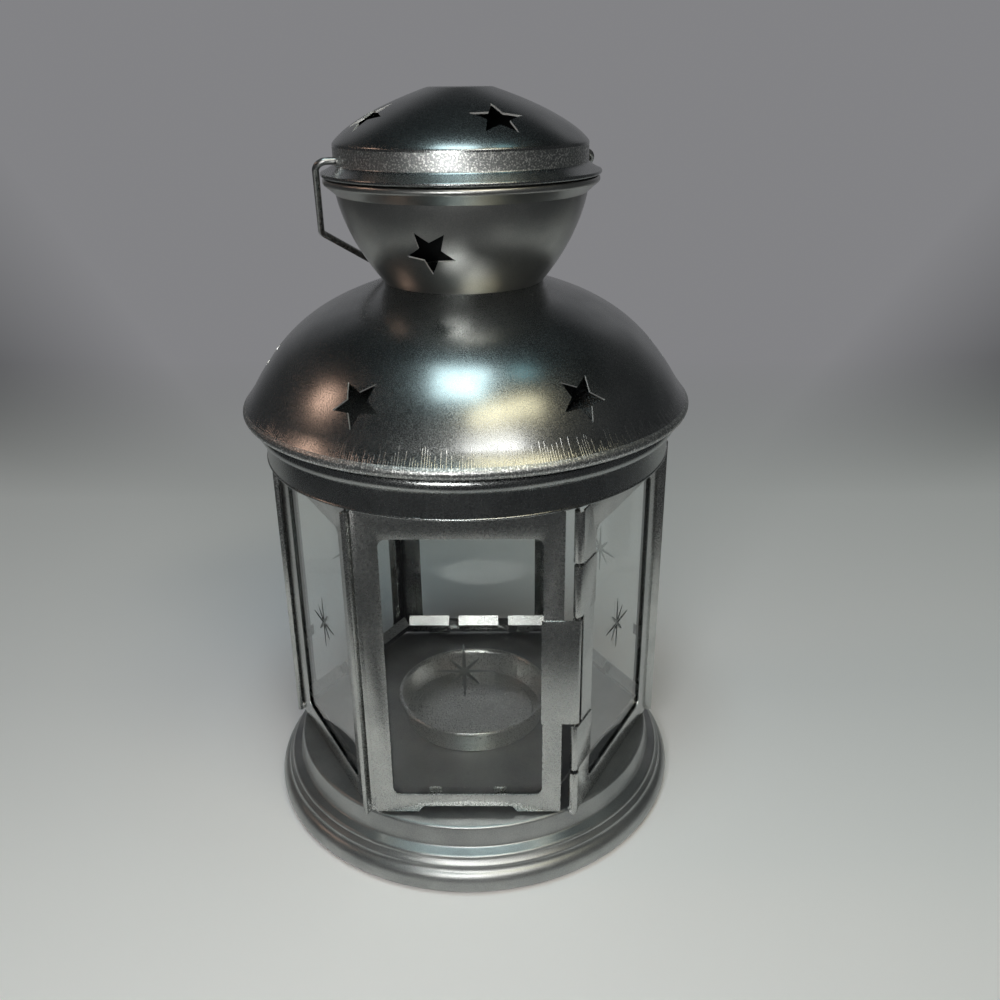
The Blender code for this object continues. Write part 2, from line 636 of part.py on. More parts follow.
def add_panel_leaves(panel):
    """Clears the middle of the rolled edge and sets the panel's two leaves there, past the door's leaf."""
    reach = LEAF_HEIGHT / 2 + KNUCKLE_GAP
    room = rod_mesh("room", STILE_SETBACK, HINGE_MIDDLE - reach, HINGE_MIDDLE + reach, 2 * ROLL_STEPS)
    reach += KNUCKLE_HEIGHT + SLIT_WIDTH
    relief = rod_mesh("relief", ROLL_RADIUS + GAP, HINGE_MIDDLE - reach, HINGE_MIDDLE + reach, 2 * ROLL_STEPS)
    for mesh in (room, relief):
        mesh.transform(Matrix.Translation(PANEL_KNUCKLE))
        add_boolean(panel, mesh, "DIFFERENCE")
    window_edge = HINGE_STILE_EXTRA - WINDOW_WIDTH / 2
    leaves = []
    for low in (LEAF_LOW - KNUCKLE_GAP - KNUCKLE_HEIGHT, LEAF_HIGH + KNUCKLE_GAP):
        leaves.append(leaf_strip("leaf", PANEL_KNUCKLE, window_edge, -LEAF_SWEEP, low, low + KNUCKLE_HEIGHT))
    add_boolean(panel, joined_mesh("leaves", leaves), "UNION")


def add_panel(index, name):
    """One folded and glazed panel. It is drawn facing the front and turned to its side of the cage."""
    hinged = name == "front_right"
    left = rolled_edge() if hinged else plain_flange()
    right = jamb_flange() if name == "front_left" else wrapped_flange()
    low, high = CAGE_SILL - 2 * LUG_REACH, COLLAR_TOP + 2 * LUG_REACH
    mesh = prism_mesh(f"panel_{name}", strip_outline(left + right), low, high)
    panel = add_object(f"panel_{name}", mesh, ZINC)
    place = side_place(index)
    panel.location = place.translation
    panel.rotation_euler = place.to_euler()
    face = panel_face(HINGE_NECK_EXTRA if hinged else 0.0)
    add_boolean(panel, prism_mesh("face", face, 0, 2 * CAGE_APOTHEM, FACING), "INTERSECT")
    window = window_mesh(WINDOW_SILL, -CAGE_APOTHEM, HINGE_STILE_EXTRA if hinged else 0.0)
    add_boolean(panel, window, "DIFFERENCE")
    add_boolean(panel, panel_tabs(), "UNION")
    if hinged:
        add_panel_leaves(panel)
    add_pane(f"pane_{name}", PANE_FRONT, WINDOW_SILL, panel)


def door_outline():
    """Front outline of the door's frame, with the finger notch in its lower edge."""
    half = DOOR_WIDTH / 2
    grip = GRIP_WIDTH / 2
    return [
        (-half, DOOR_SILL),
        (-grip - GRIP_SLOPE, DOOR_SILL),
        (-grip, DOOR_SILL + GRIP_HEIGHT),
        (grip, DOOR_SILL + GRIP_HEIGHT),
        (grip + GRIP_SLOPE, DOOR_SILL),
        (half, DOOR_SILL),
        (half, CAGE_HEAD),
        (-half, CAGE_HEAD),
    ]


def add_door():
    """The door's frame with its leaf and glass tabs, its pane, and the hinge pin that they turn on."""
    pivot = bpy.data.objects.new("door_pivot", None)
    LANTERN.objects.link(pivot)
    pivot.location = HINGE_AXIS
    to_pivot = Matrix.Translation(-HINGE_AXIS)
    frame = prism_mesh("door_frame", door_outline(), -DOOR_FRONT - THIN_SHEET, -DOOR_FRONT, FACING)
    window = window_mesh(DOOR_WINDOW_SILL, DOOR_FRONT)
    bottom = DOOR_WINDOW_SILL - PANE_DROP
    top = DOOR_WINDOW_SILL + WINDOW_HEIGHT + PANE_LAP
    tabs = []
    for side in (-1, 1):
        middle = side * DOOR_TAB_SPREAD
        tabs.append(folded_tab(DOOR_FRONT, bottom, SMALL_TAB_HEIGHT, middle, SMALL_TAB_WIDTH))
        tabs.append(folded_tab(DOOR_FRONT, top, SMALL_TAB_WIDTH, middle, SMALL_TAB_WIDTH, True))
        tabs.append(side_tab(DOOR_FRONT, DOOR_WINDOW_SILL, side))
    for mesh in (frame, window):
        mesh.transform(to_pivot)
    door = add_object("door_frame", frame, ZINC, pivot)
    add_boolean(door, window, "DIFFERENCE")
    leaf = leaf_strip("leaf", HINGE_AXIS, WINDOW_WIDTH / 2 - THIN_SHEET, LEAF_SWEEP, LEAF_LOW, LEAF_HIGH)
    for mesh in (leaf, joined_mesh("tabs", tabs)):
        mesh.transform(to_pivot)
        add_boolean(door, mesh, "UNION")
    pane = add_pane("door_pane", DOOR_PANE_FRONT, DOOR_WINDOW_SILL, pivot)
    pane.data.transform(to_pivot)
    low, high = HINGE_MIDDLE - PIN_HALF_LENGTH, HINGE_MIDDLE + PIN_HALF_LENGTH
    pin = rod_mesh("hinge_pin", PIN_RADIUS, low, high, PIN_SIDES)
    shade(pin)
    add_object("hinge_pin", pin, WIRE).location = HINGE_AXIS


def add_collar():
    """The ring that the panels' heads pass up into: a flat plate, a bead and a skirt with a beaded lip."""
    bead = (COLLAR_RADIUS, COLLAR_TOP - COLLAR_BEAD_RADIUS)
    lip = (COLLAR_RADIUS, COLLAR_LIP + COLLAR_LIP_BEAD)
    profile = [
        (CAGE_APOTHEM - COLLAR_LEDGE, COLLAR_TOP),
        *arc(bead, COLLAR_BEAD_RADIUS, 90, -75, 4),
        (COLLAR_RADIUS, bead[1] - COLLAR_BEAD_RADIUS - COLLAR_LIP_BEAD),
        *arc(lip, COLLAR_LIP_BEAD, 60, -90, 2),
    ]
    collar = add_turned_shell("collar", profile, ZINC, TURN_STEPS)
    cut_lug_slots(collar, COLLAR_TOP - 3 * SHEET, COLLAR_TOP + SHEET)


def roof_profile():
    """Outer line of the roof: the eyelet that grips the bowl, the neck, the dome, the rim and its flange."""
    flange = BOWL_FOOT + SHEET + GAP
    dome_foot = (RIM_RADIUS - FLARE_WIDTH, RIM_HEIGHT + FLARE_HEIGHT)
    rim = (RIM_RADIUS - RIM_BEAD, RIM_HEIGHT)
    return [
        (EYELET_RADIUS + EYELET_FLANGE, flange),
        (EYELET_RADIUS, flange),
        (EYELET_RADIUS, ROOF_TOP),
        (NECK_RADIUS, ROOF_TOP),
        *pulled_curve((NECK_RADIUS + NECK_EASE, ROOF_TOP - NECK_EASE / 2), DOME_TOP_PULL, DOME_TOP_SLOPE,
                      dome_foot, DOME_FOOT_PULL, DOME_FOOT_SLOPE, 7),
        *arc(rim, RIM_BEAD, 50, -90, 3),
        (rim[0] - RIM_FLANGE, RIM_HEIGHT - RIM_BEAD),
    ]


def bowl_profile():
    """Outer line of the bowl: the spigot inside the cap, the lip, the round wall and the flat foot."""
    spigot = CAP_BAND_RADIUS - SHEET - GAP
    lip = (BOWL_LIP_RADIUS - BOWL_LIP_BEAD, BOWL_TOP - BOWL_LIP_BEAD)
    shoulder = (BOWL_LIP_RADIUS - BOWL_SHOULDER_INSET, lip[1] - BOWL_SHOULDER_INSET)
    return [
        (spigot, BOWL_TOP + SPIGOT_HEIGHT),
        (spigot, BOWL_TOP),
        *arc(lip, BOWL_LIP_BEAD, 90, -60, 4),
        *pulled_curve(shoulder, BOWL_SHOULDER_PULL, BOWL_SHOULDER_SLOPE,
                      (NECK_RADIUS + BOWL_FOOT_SPREAD, BOWL_FOOT + BOWL_FOOT_RISE),
                      BOWL_FOOT_PULL, BOWL_FOOT_SLOPE, 6),
        (NECK_RADIUS - NECK_EASE / 2, BOWL_FOOT),
        (EYELET_RADIUS + GAP, BOWL_FOOT),
    ]


def cap_profile():
    """Outer line of the cap: the flat crown, the domed slope, the upright band, the flare and the lip."""
    lip = (CAP_LIP_RADIUS - CAP_LIP_BEAD, CAP_FOOT + CAP_LIP_BEAD)
    return [
        (0, CROWN_HEIGHT),
        *pulled_curve((CROWN_RADIUS, CROWN_HEIGHT), CROWN_PULL, CROWN_SLOPE,
                      (CAP_BAND_RADIUS - CAP_SHOULDER / 2, CAP_BAND_HEAD + CAP_SHOULDER),
                      SHOULDER_PULL, SHOULDER_SLOPE, 6),
        (CAP_BAND_RADIUS, CAP_BAND_HEAD),
        (CAP_BAND_RADIUS, CAP_BAND_FOOT),
        *arc(lip, CAP_LIP_BEAD, 70, -90, 3),
    ]


def cut_bail_holes(piece):
    """The two holes that the bail's ends turn in."""
    hole = rod_mesh("bail_holes", WIRE_RADIUS + PIVOT_CLEARANCE, -CAP_LIP_RADIUS, CAP_LIP_RADIUS, 10)
    hole.transform(Matrix.Rotation(math.pi / 2, 4, "Y"))
    hole.transform(Matrix.Rotation(math.radians(BAIL_TURN), 4, "Z"))
    hole.transform(Matrix.Translation((0, 0, PIVOT_HEIGHT)))
    add_boolean(piece, hole, "DIFFERENCE")


def add_roof():
    """The domed roof with its ring of stars."""
    profile = roof_profile()
    roof = add_turned_shell("roof", profile, ZINC, TURN_STEPS)
    cut_stars(roof, profile, ROOF_STARS, ROOF_STAR_TURN, COLLAR_TOP + ROOF_STAR_RISE, ROOF_STAR_TWIST)


def add_bowl():
    """The bowl above the roof, clamped there by the roof's eyelet."""
    profile = bowl_profile()
    bowl = add_turned_shell("upper_bowl", profile, ZINC, TURN_STEPS)
    cut_stars(bowl, profile, BOWL_STARS, BOWL_STAR_TURN, BOWL_FOOT + BOWL_STAR_RISE, BOWL_STAR_TWIST)
    cut_bail_holes(bowl)


def add_cap():
    """The cap, which sits on the bowl's lip over its spigot. The bail's ends pin the two together."""
    profile = cap_profile()
    cap = add_turned_shell("cap", profile, ZINC, TURN_STEPS)
    cut_stars(cap, profile, CAP_STARS, CAP_STAR_TURN, CAP_BAND_HEAD + CAP_STAR_RISE, CAP_STAR_TWIST)
    cut_bail_holes(cap)


def bend_path(corners, radius, count):
    """A line of straight runs with each corner replaced by an arc."""
    points = [Vector(corners[0])]
    for before, corner, after in zip(corners, corners[1:], corners[2:]):
        before, corner, after = Vector(before), Vector(corner), Vector(after)
        back, ahead = (before - corner).normalized(), (after - corner).normalized()
        half = back.angle(ahead) / 2
        centre = corner + (back + ahead).normalized() * radius / math.sin(half)
        start = corner + back * radius / math.tan(half) - centre
        end = corner + ahead * radius / math.tan(half) - centre
        sweep = start.angle(end)
        for index in range(count + 1):
            share = index / count
            point = (start * math.sin((1 - share) * sweep) + end * math.sin(share * sweep)) / math.sin(sweep)
            points.append(centre + point)
    points.append(Vector(corners[-1]))
    return points


def distance_to(profile, point):
    """Shortest distance from a point beside the axis to the outer line of a turned piece."""
    nearest = []
    for start, end in zip(profile, profile[1:]):
        first, last = Vector(start), Vector(end)
        run = last - first
        share = min(max((point - first).dot(run) / run.length_squared, 0), 1)
        nearest.append((first + run * share - point).length)
    return min(nearest)


def resting_tilt():
    """Degrees from straight down at which the bail's grip comes to rest against the neck."""
    tilt = 90.0
    clear = True
    while clear:
        tilt -= BAIL_STEP
        angle = math.radians(tilt - BAIL_STEP)
        grip = Vector((BAIL_REACH * math.sin(angle), PIVOT_HEIGHT - BAIL_REACH * math.cos(angle)))
        clear = min(distance_to(roof_profile(), grip), distance_to(bowl_profile(), grip)) > WIRE_RADIUS + GAP
    return tilt


def add_bail():
    """The wire bail. Its ends turn in the cap's band, and it hangs back against the neck."""
    inner = CAP_BAND_RADIUS - SHEET - WIRE_INSET
    span = CAP_LIP_RADIUS + BAIL_MARGIN + WIRE_RADIUS
    half = [(inner, 0, 0), (span, 0, 0), (span - BAIL_CLOSING, 0, -BAIL_LEG),
            (BAIL_GRIP_HALF, 0, -BAIL_REACH)]
    corners = half + [(-x, y, z) for x, y, z in reversed(half)]
    route = bend_path(corners, BAIL_BEND, 3)
    curve = bpy.data.curves.new("bail", "CURVE")
    curve.dimensions = "3D"
    curve.bevel_depth = WIRE_RADIUS
    curve.bevel_resolution = 2
    curve.use_fill_caps = True
    spline = curve.splines.new("POLY")
    spline.points.add(len(route) - 1)
    for point, place in zip(spline.points, route):
        point.co = (*place, 1)
    bail = add_object("bail", curve, WIRE)
    bail.location.z = PIVOT_HEIGHT
    bail.rotation_euler = (math.radians(resting_tilt()), 0, math.radians(BAIL_TURN))


add_base_pan()
add_tealight_cup()
for number, label in enumerate(PANELS, start=1):
    add_panel(number, label)
add_door()
add_collar()
add_roof()
add_bowl()
add_cap()
add_bail()
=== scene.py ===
"""Tealight lantern in galvanised sheet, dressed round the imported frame.

The pressed round pieces are turned again at full smoothness, the folded panels and the door get rounded
folds, the panes get their cut stars, and every surface gets its finish. Metres, +Z up, the door faces -Y.
"""
import json
import logging
import math
from dataclasses import dataclass
from enum import Enum
from typing import Any

import bmesh
import bpy
from mathutils import Matrix, Vector


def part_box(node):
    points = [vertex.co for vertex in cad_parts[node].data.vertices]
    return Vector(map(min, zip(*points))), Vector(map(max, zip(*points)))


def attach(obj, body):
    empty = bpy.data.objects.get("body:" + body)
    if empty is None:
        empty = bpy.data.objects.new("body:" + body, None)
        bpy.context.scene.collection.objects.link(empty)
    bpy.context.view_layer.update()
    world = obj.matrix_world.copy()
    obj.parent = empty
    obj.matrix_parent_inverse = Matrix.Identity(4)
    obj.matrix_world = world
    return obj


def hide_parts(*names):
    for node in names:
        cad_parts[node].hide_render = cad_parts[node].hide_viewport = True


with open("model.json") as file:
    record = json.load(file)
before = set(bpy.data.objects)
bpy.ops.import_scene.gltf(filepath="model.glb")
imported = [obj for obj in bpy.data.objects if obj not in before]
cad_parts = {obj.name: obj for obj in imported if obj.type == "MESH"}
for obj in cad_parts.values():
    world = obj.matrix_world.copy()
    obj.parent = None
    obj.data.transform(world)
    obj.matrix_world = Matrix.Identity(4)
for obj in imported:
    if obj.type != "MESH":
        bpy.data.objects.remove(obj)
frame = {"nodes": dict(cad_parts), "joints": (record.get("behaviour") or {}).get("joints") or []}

LOG = logging.getLogger("tealight_lantern")
Colour = tuple[float, float, float]
Range = tuple[float, float]
Point = tuple[float, float]
Line = list[Point]
Sweep = tuple[float, float, int]       # first and last angle of an arc, in degrees, and its steps
Pull = tuple[float, float]             # how far a curve keeps a slope, and that slope in degrees
Socket = bpy.types.NodeSocket

SHEET_WALL = 0.0005
TURN_STEPS = 192           # facets round a pressed piece
CREASE = 32.0              # degrees; sharper folds keep a hard line
CAGE_SIDES = 6
FLAT = 1.0                 # degrees; triangles of a CAD node that fold by less are one face
WELD = 1e-6                # points of a turned piece that are nearer than this become one
ON_AXIS = 1e-7             # a radius below this lies on the axis
MITRE_LIMIT = 0.5          # how far the inner face may stretch round a sharp corner
WALL_SHARE = 0.97          # inner points nearer to the outer line than this share of the wall are dropped
NO_LENGTH = 1e-18          # square of a length that counts as none
HOUSING, DOOR, BAIL = "cage", "door", "bail_handle"


class Slot(Enum):
    """The record's material slots."""

    SHEET = "galvanised_sheet"
    BRIGHT = "bright_sheet"
    WIRE = "steel_wire"
    GLASS = "clear_glass"


class Inside(Enum):
    """What the inner faces of a turned piece get: the outer finish, or a near-black painted shade."""

    SAME = "the finish of the outer faces"
    # the dull finish named here is painted shade: a near-black finish on faces that lie in shade
    DULL = "the dull finish"
    DULL_AND_TOP = "the dull finish, which also covers a level top that another piece hides"


class Board:
    """A node tree that is filled in code."""

    def __init__(self, tree: bpy.types.NodeTree) -> None:
        """Keeps the shader, world or geometry tree to fill."""
        self.tree = tree

    def node(self, kind: str, inputs: dict[int | str, Any] | None = None, **settings: Any) -> bpy.types.Node:
        """Adds one node.

        Args:
            kind: Blender's type name of the node.
            inputs: Values or sockets to feed it, by the index or name of its input.
            settings: Properties of the node itself.

        Returns:
            The node.
        """
        made = self.tree.nodes.new(kind)
        for key, value in settings.items():
            setattr(made, key, value)
        for key, value in (inputs or {}).items():
            if isinstance(value, Socket):
                self.tree.links.new(value, made.inputs[key])
            else:
                made.inputs[key].default_value = value
        return made

    def math(self, operation: str, first: Any, second: Any = 0.0, third: Any = 0.0) -> Socket:
        """One step of arithmetic on values or sockets."""
        return self.node("ShaderNodeMath", {0: first, 1: second, 2: third}, operation=operation).outputs[0]

    def vector_math(self, operation: str, first: Any, second: Any = (0.0, 0.0, 0.0)) -> Socket:
        """One step of arithmetic on vectors."""
        return self.node("ShaderNodeVectorMath", {0: first, 1: second}, operation=operation).outputs[0]

    def vector(self, x: Any = 0.0, y: Any = 0.0, z: Any = 0.0) -> Socket:
        """A vector of three values or sockets."""
        return self.node("ShaderNodeCombineXYZ", {0: x, 1: y, 2: z}).outputs[0]

    def part(self, vector: Any, axis: int) -> Socket:
        """A vector's measure along X, Y or Z, which are 0, 1 and 2."""
        return self.node("ShaderNodeSeparateXYZ", {0: vector}).outputs[axis]

    def noise(self, place: Any, scale: float, detail: float = 2.0) -> Socket:
        """Noise from 0 to 1 at a place, with its grains per metre and its octaves."""
        return self.node("ShaderNodeTexNoise", {"Vector": place, "Scale": scale, "Detail": detail}).outputs[0]

    def spread(self, value: Any, window: Range, start: Any = 0.0, end: Any = 1.0) -> Socket:
        """Maps a window of values onto the way from start to end, and holds it there."""
        inputs = {0: value, 1: window[0], 2: window[1], 3: start, 4: end}
        return self.node("ShaderNodeMapRange", inputs, clamp=True).outputs[0]

    def blend_colours(self, share: Any, first: Colour | Any, second: Colour | Any) -> Socket:
        """Mixes two colours.

        Args:
            share: Socket or value of the second colour's share.
            first: A colour or socket.
            second: A colour or socket.

        Returns:
            The colour's socket.
        """
        sides = [(*side, 1.0) if isinstance(side, tuple) else side for side in (first, second)]
        made = self.node("ShaderNodeMix", {0: share, 6: sides[0], 7: sides[1]}, data_type="RGBA")
        return made.outputs[2]


class ShaderBoard(Board):
    """The node tree of a new material, with its Principled shader and the piece's own coordinates."""

    def __init__(self, name: str) -> None:
        """Starts the material.

        Args:
            name: The material's name.
        """
        self.material = bpy.data.materials.new(name)
        self.material.use_nodes = True
        super().__init__(self.material.node_tree)
        self.shader = self.tree.nodes["Principled BSDF"]
        self.place = self.node("ShaderNodeTexCoord").outputs["Object"]

    def feed(self, values: dict[str, Any]) -> None:
        """Sets or links inputs of the shader.

        Args:
            values: A value or socket for each input's name.
        """
        for name, value in values.items():
            if isinstance(value, Socket):
                self.tree.links.new(value, self.shader.inputs[name])
            else:
                self.shader.inputs[name].default_value = value

    def bump(self, height: Any, depth: float, strength: float, below: Any = None) -> Socket:
        """A bump of a real depth.

        Args:
            height: Socket of a height from 0 to 1.
            depth: Depth of a full step, in metres.
            strength: How much of it counts.
            below: A coarser bump's normal to add it to.

        Returns:
            The normal's socket.
        """
        inputs = {"Height": height, "Distance": depth, "Strength": strength}
        if below is not None:
            inputs["Normal"] = below
        return self.node("ShaderNodeBump", inputs).outputs[0]


@dataclass(frozen=True)
class SheetFinish:
    """Zinc-coated sheet: a satin grey with fine grains, clouds of tone, and the marks of the press.

    Grains, clouds and specks are counted per metre.
    """

    name: str
    colour: Colour = (0.40, 0.41, 0.405)
    dull_colour: Colour = (0.26, 0.27, 0.27)
    smooth: float = 0.21
    rough: float = 0.31
    metal: float = 1.0
    grain: float = 3600.0
    grain_depth: float = 0.000003
    grain_strength: float = 0.8
    cloud: float = 70.0
    cloud_share: float = 0.55
    octaves: float = 3.0
    tone_window: Range = (0.38, 0.62)
    gloss_window: Range = (0.35, 0.65)
    mark_depth: float = 0.00003
    speckled: Range | None = None         # lowest and highest level of a speckled band
    speck: float = 2400.0
    speck_window: Range = (0.50, 0.64)
    speck_colour: Colour = (0.92, 0.92, 0.90)
    speck_strength: float = 0.5
    speck_rough: float = 0.15
    rim_height: float | None = None       # level from which the scratches of a rim run up and down
    rim_lines: int = 600
    rim_reach: float = 0.0040
    rim_spread: float = 1.6
    rim_scatter: float = 0.5
    rim_line_window: Range = (0.05, 0.17)
    rim_colour: Colour = (0.74, 0.74, 0.72)
    rim_share: float = 0.65
    rim_strength: float = 0.6

    def build(self) -> bpy.types.Material:
        """Makes the material.

        Returns:
            The finished material.
        """
        board = ShaderBoard(self.name)
        grains = board.noise(board.place, self.grain, self.octaves)
        clouds = board.noise(board.place, self.cloud, self.octaves)
        tone = board.math("MULTIPLY_ADD", clouds, self.cloud_share,
                          board.math("MULTIPLY", grains, 1.0 - self.cloud_share))
        colour = board.blend_colours(board.spread(tone, self.tone_window), self.dull_colour, self.colour)
        gloss = board.spread(grains, self.gloss_window, self.smooth, self.rough)
        normal = board.bump(grains, self.grain_depth, self.grain_strength)
        if self.rim_height is not None:
            marks = self.rim_marks(board)
            share = board.math("MULTIPLY", marks, self.rim_share)
            colour = board.blend_colours(share, colour, self.rim_colour)
            normal = board.bump(marks, self.mark_depth, self.rim_strength, normal)
        if self.speckled is not None:
            low, high = self.speckled
            band = board.math("COMPARE", board.part(board.place, 2), (low + high) / 2, (high - low) / 2)
            spots = board.spread(board.noise(board.place, self.speck), self.speck_window)
            specks = board.math("MULTIPLY", spots, band)
            colour = board.blend_colours(specks, colour, self.speck_colour)
            gloss = board.math("MULTIPLY_ADD", band, self.speck_rough, gloss)
            normal = board.bump(specks, self.mark_depth, self.speck_strength, normal)
        board.feed({"Metallic": self.metal, "Base Color": colour, "Roughness": gloss, "Normal": normal})
        return board.material

    def rim_marks(self, board: ShaderBoard) -> Socket:
        """Short upright scratches that the press left along a rim, each of its own length.

        Args:
            board: The material's board.

        Returns:
            Socket of the marks, from 0 to 1.
        """
        axes = board.node("ShaderNodeSeparateXYZ", {0: board.place}).outputs
        turn = board.math("ARCTAN2", axes[1], axes[0])
        step = board.math("MULTIPLY", turn, self.rim_lines / math.tau)
        whole = board.math("FLOOR", step)
        chance = board.node("ShaderNodeTexWhiteNoise", {"W": whole}, noise_dimensions="1D").outputs[0]
        middle = board.math("MULTIPLY_ADD", chance, self.rim_scatter, (1.0 - self.rim_scatter) / 2)
        away = board.math("ABSOLUTE", board.math("SUBTRACT", board.math("FRACT", step), middle))
        line = board.spread(away, self.rim_line_window, 1.0, 0.0)
        rise = board.math("ABSOLUTE", board.math("SUBTRACT", axes[2], self.rim_height))
        reach = board.math("MULTIPLY", board.math("POWER", chance, self.rim_spread), self.rim_reach)
        return board.math("MULTIPLY", line, board.math("LESS_THAN", rise, reach))


@dataclass(frozen=True)
class GrainedFinish:
    """A plain finish of two tones that follow one grain: drawn wire, a raw cut edge, the near-black painted
    shade of an inside.
    """

    name: str
    colour: Colour
    dull_colour: Colour
    grain: float
    smooth: float
    rough: float
    octaves: float = 2.0
    tone_window: Range = (0.35, 0.65)
    gloss_window: Range = (0.35, 0.65)
    metal: float = 0.0
    specular: float = 0.5
    depth: float = 0.00002
    strength: float = 0.5

    def build(self) -> bpy.types.Material:
        """Makes the material.

        Returns:
            The finished material.
        """
        board = ShaderBoard(self.name)
        grains = board.noise(board.place, self.grain, self.octaves)
        tone = board.spread(grains, self.tone_window)
        board.feed({"Metallic": self.metal, "Specular IOR Level": self.specular,
                    "Base Color": board.blend_colours(tone, self.dull_colour, self.colour),
                    "Roughness": board.spread(grains, self.gloss_window, self.smooth, self.rough)})
        if self.strength:
            board.feed({"Normal": board.bump(grains, self.depth, self.strength)})
        return board.material


@dataclass(frozen=True)
class GlassFinish:
    """Clear pane glass, or the ground surface of a cut in it."""

    name: str
    colour: Colour = (0.88, 0.90, 0.89)
    smooth: float = 0.0
    rough: float = 0.02
    haze: float = 55.0
    octaves: float = 4.0
    haze_window: Range = (0.45, 0.75)
    refraction: float = 1.5

    def build(self) -> bpy.types.Material:
        """Makes the material.

        Returns:
            The finished material.
        """
        board = ShaderBoard(self.name)
        haze = board.noise(board.place, self.haze, self.octaves)
        board.feed({"Base Color": (*self.colour, 1.0), "Transmission Weight": 1.0, "IOR": self.refraction,
                    "Roughness": board.spread(haze, self.haze_window, self.smooth, self.rough)})
        return board.material


@dataclass(frozen=True)
class Finishes:
    """The finishes of this lantern."""

    base: bpy.types.Material
    folded: bpy.types.Material
    upper: bpy.types.Material
    bowl: bpy.types.Material
    roof: bpy.types.Material
    # the cup's own bright tin, and also a painted highlight on the sill lips and seam nubs
    bright: bpy.types.Material
    wire: bpy.types.Material
    raw_cut: bpy.types.Material
    # painted shade: near-black finish for the inner faces of the turned pieces
    inner: bpy.types.Material
    painted_shade_panel_inside: bpy.types.Material
    glass: bpy.types.Material
    ground_glass: bpy.types.Material


def build_finishes(crease: float, rim_band: Range, cap_band: Range) -> Finishes:
    """Makes every material once.

    Args:
        crease: Height of the crease above the roof's rim, where the press marks start.
        rim_band: Lowest and highest level of the roof's rim, which the press left speckled.
        cap_band: Lowest and highest level of the cap's upright band, which the press left speckled.

    Returns:
        The finishes.
    """
    return Finishes(
        base=SheetFinish("galvanised_base_sheet", (0.44, 0.445, 0.44), (0.29, 0.30, 0.30), 0.32, 0.44,
                         metal=0.92).build(),
        folded=SheetFinish("galvanised_folded_sheet", (0.56, 0.565, 0.55), (0.38, 0.39, 0.385), 0.22, 0.32,
                           metal=0.97).build(),
        upper=SheetFinish("galvanised_upper_sheet", speckled=cap_band).build(),
        bowl=SheetFinish("galvanised_bowl_sheet", (0.53, 0.53, 0.51), (0.37, 0.375, 0.365), 0.28,
                         0.38).build(),
        roof=SheetFinish("galvanised_roof_sheet", rim_height=crease, speckled=rim_band).build(),
        # the cup's own bright tin; the same finish paints a highlight on the sill lips and seam nubs
        bright=SheetFinish("bright_cup_sheet", (0.84, 0.84, 0.82), (0.68, 0.68, 0.67), 0.24, 0.36,
                           metal=0.88).build(),
        wire=GrainedFinish("drawn_wire", (0.46, 0.46, 0.45), (0.30, 0.30, 0.30), 900.0, 0.26, 0.40,
                           octaves=4.0, tone_window=(0.4, 0.62), metal=1.0).build(),
        raw_cut=GrainedFinish("raw_cut_edge", (0.86, 0.86, 0.84), (0.68, 0.68, 0.67), 4000.0, 0.30, 0.46,
                              gloss_window=(0.3, 0.7), metal=0.4).build(),
        # painted shade: a near-black, barely glossy finish for inner faces that lie in shade
        inner=GrainedFinish("dull_inside", (0.040, 0.042, 0.044), (0.022, 0.023, 0.025), 160.0, 0.60, 0.80,
                            octaves=3.0, tone_window=(0.4, 0.6), gloss_window=(0.3, 0.7), specular=0.1,
                            strength=0.0).build(),
        # painted shade: a darker copy of the sheet for the panels' inner faces
        painted_shade_panel_inside=SheetFinish("shaded_inner_sheet", (0.20, 0.205, 0.205), (0.13, 0.135, 0.135)).build(),
        glass=GlassFinish("clear_glass").build(),
        # ground glass tinted dark: painted shade in the cut lines of the stars
        ground_glass=GlassFinish("ground_glass", (0.17, 0.19, 0.185), 0.25, 0.4).build(),
    )


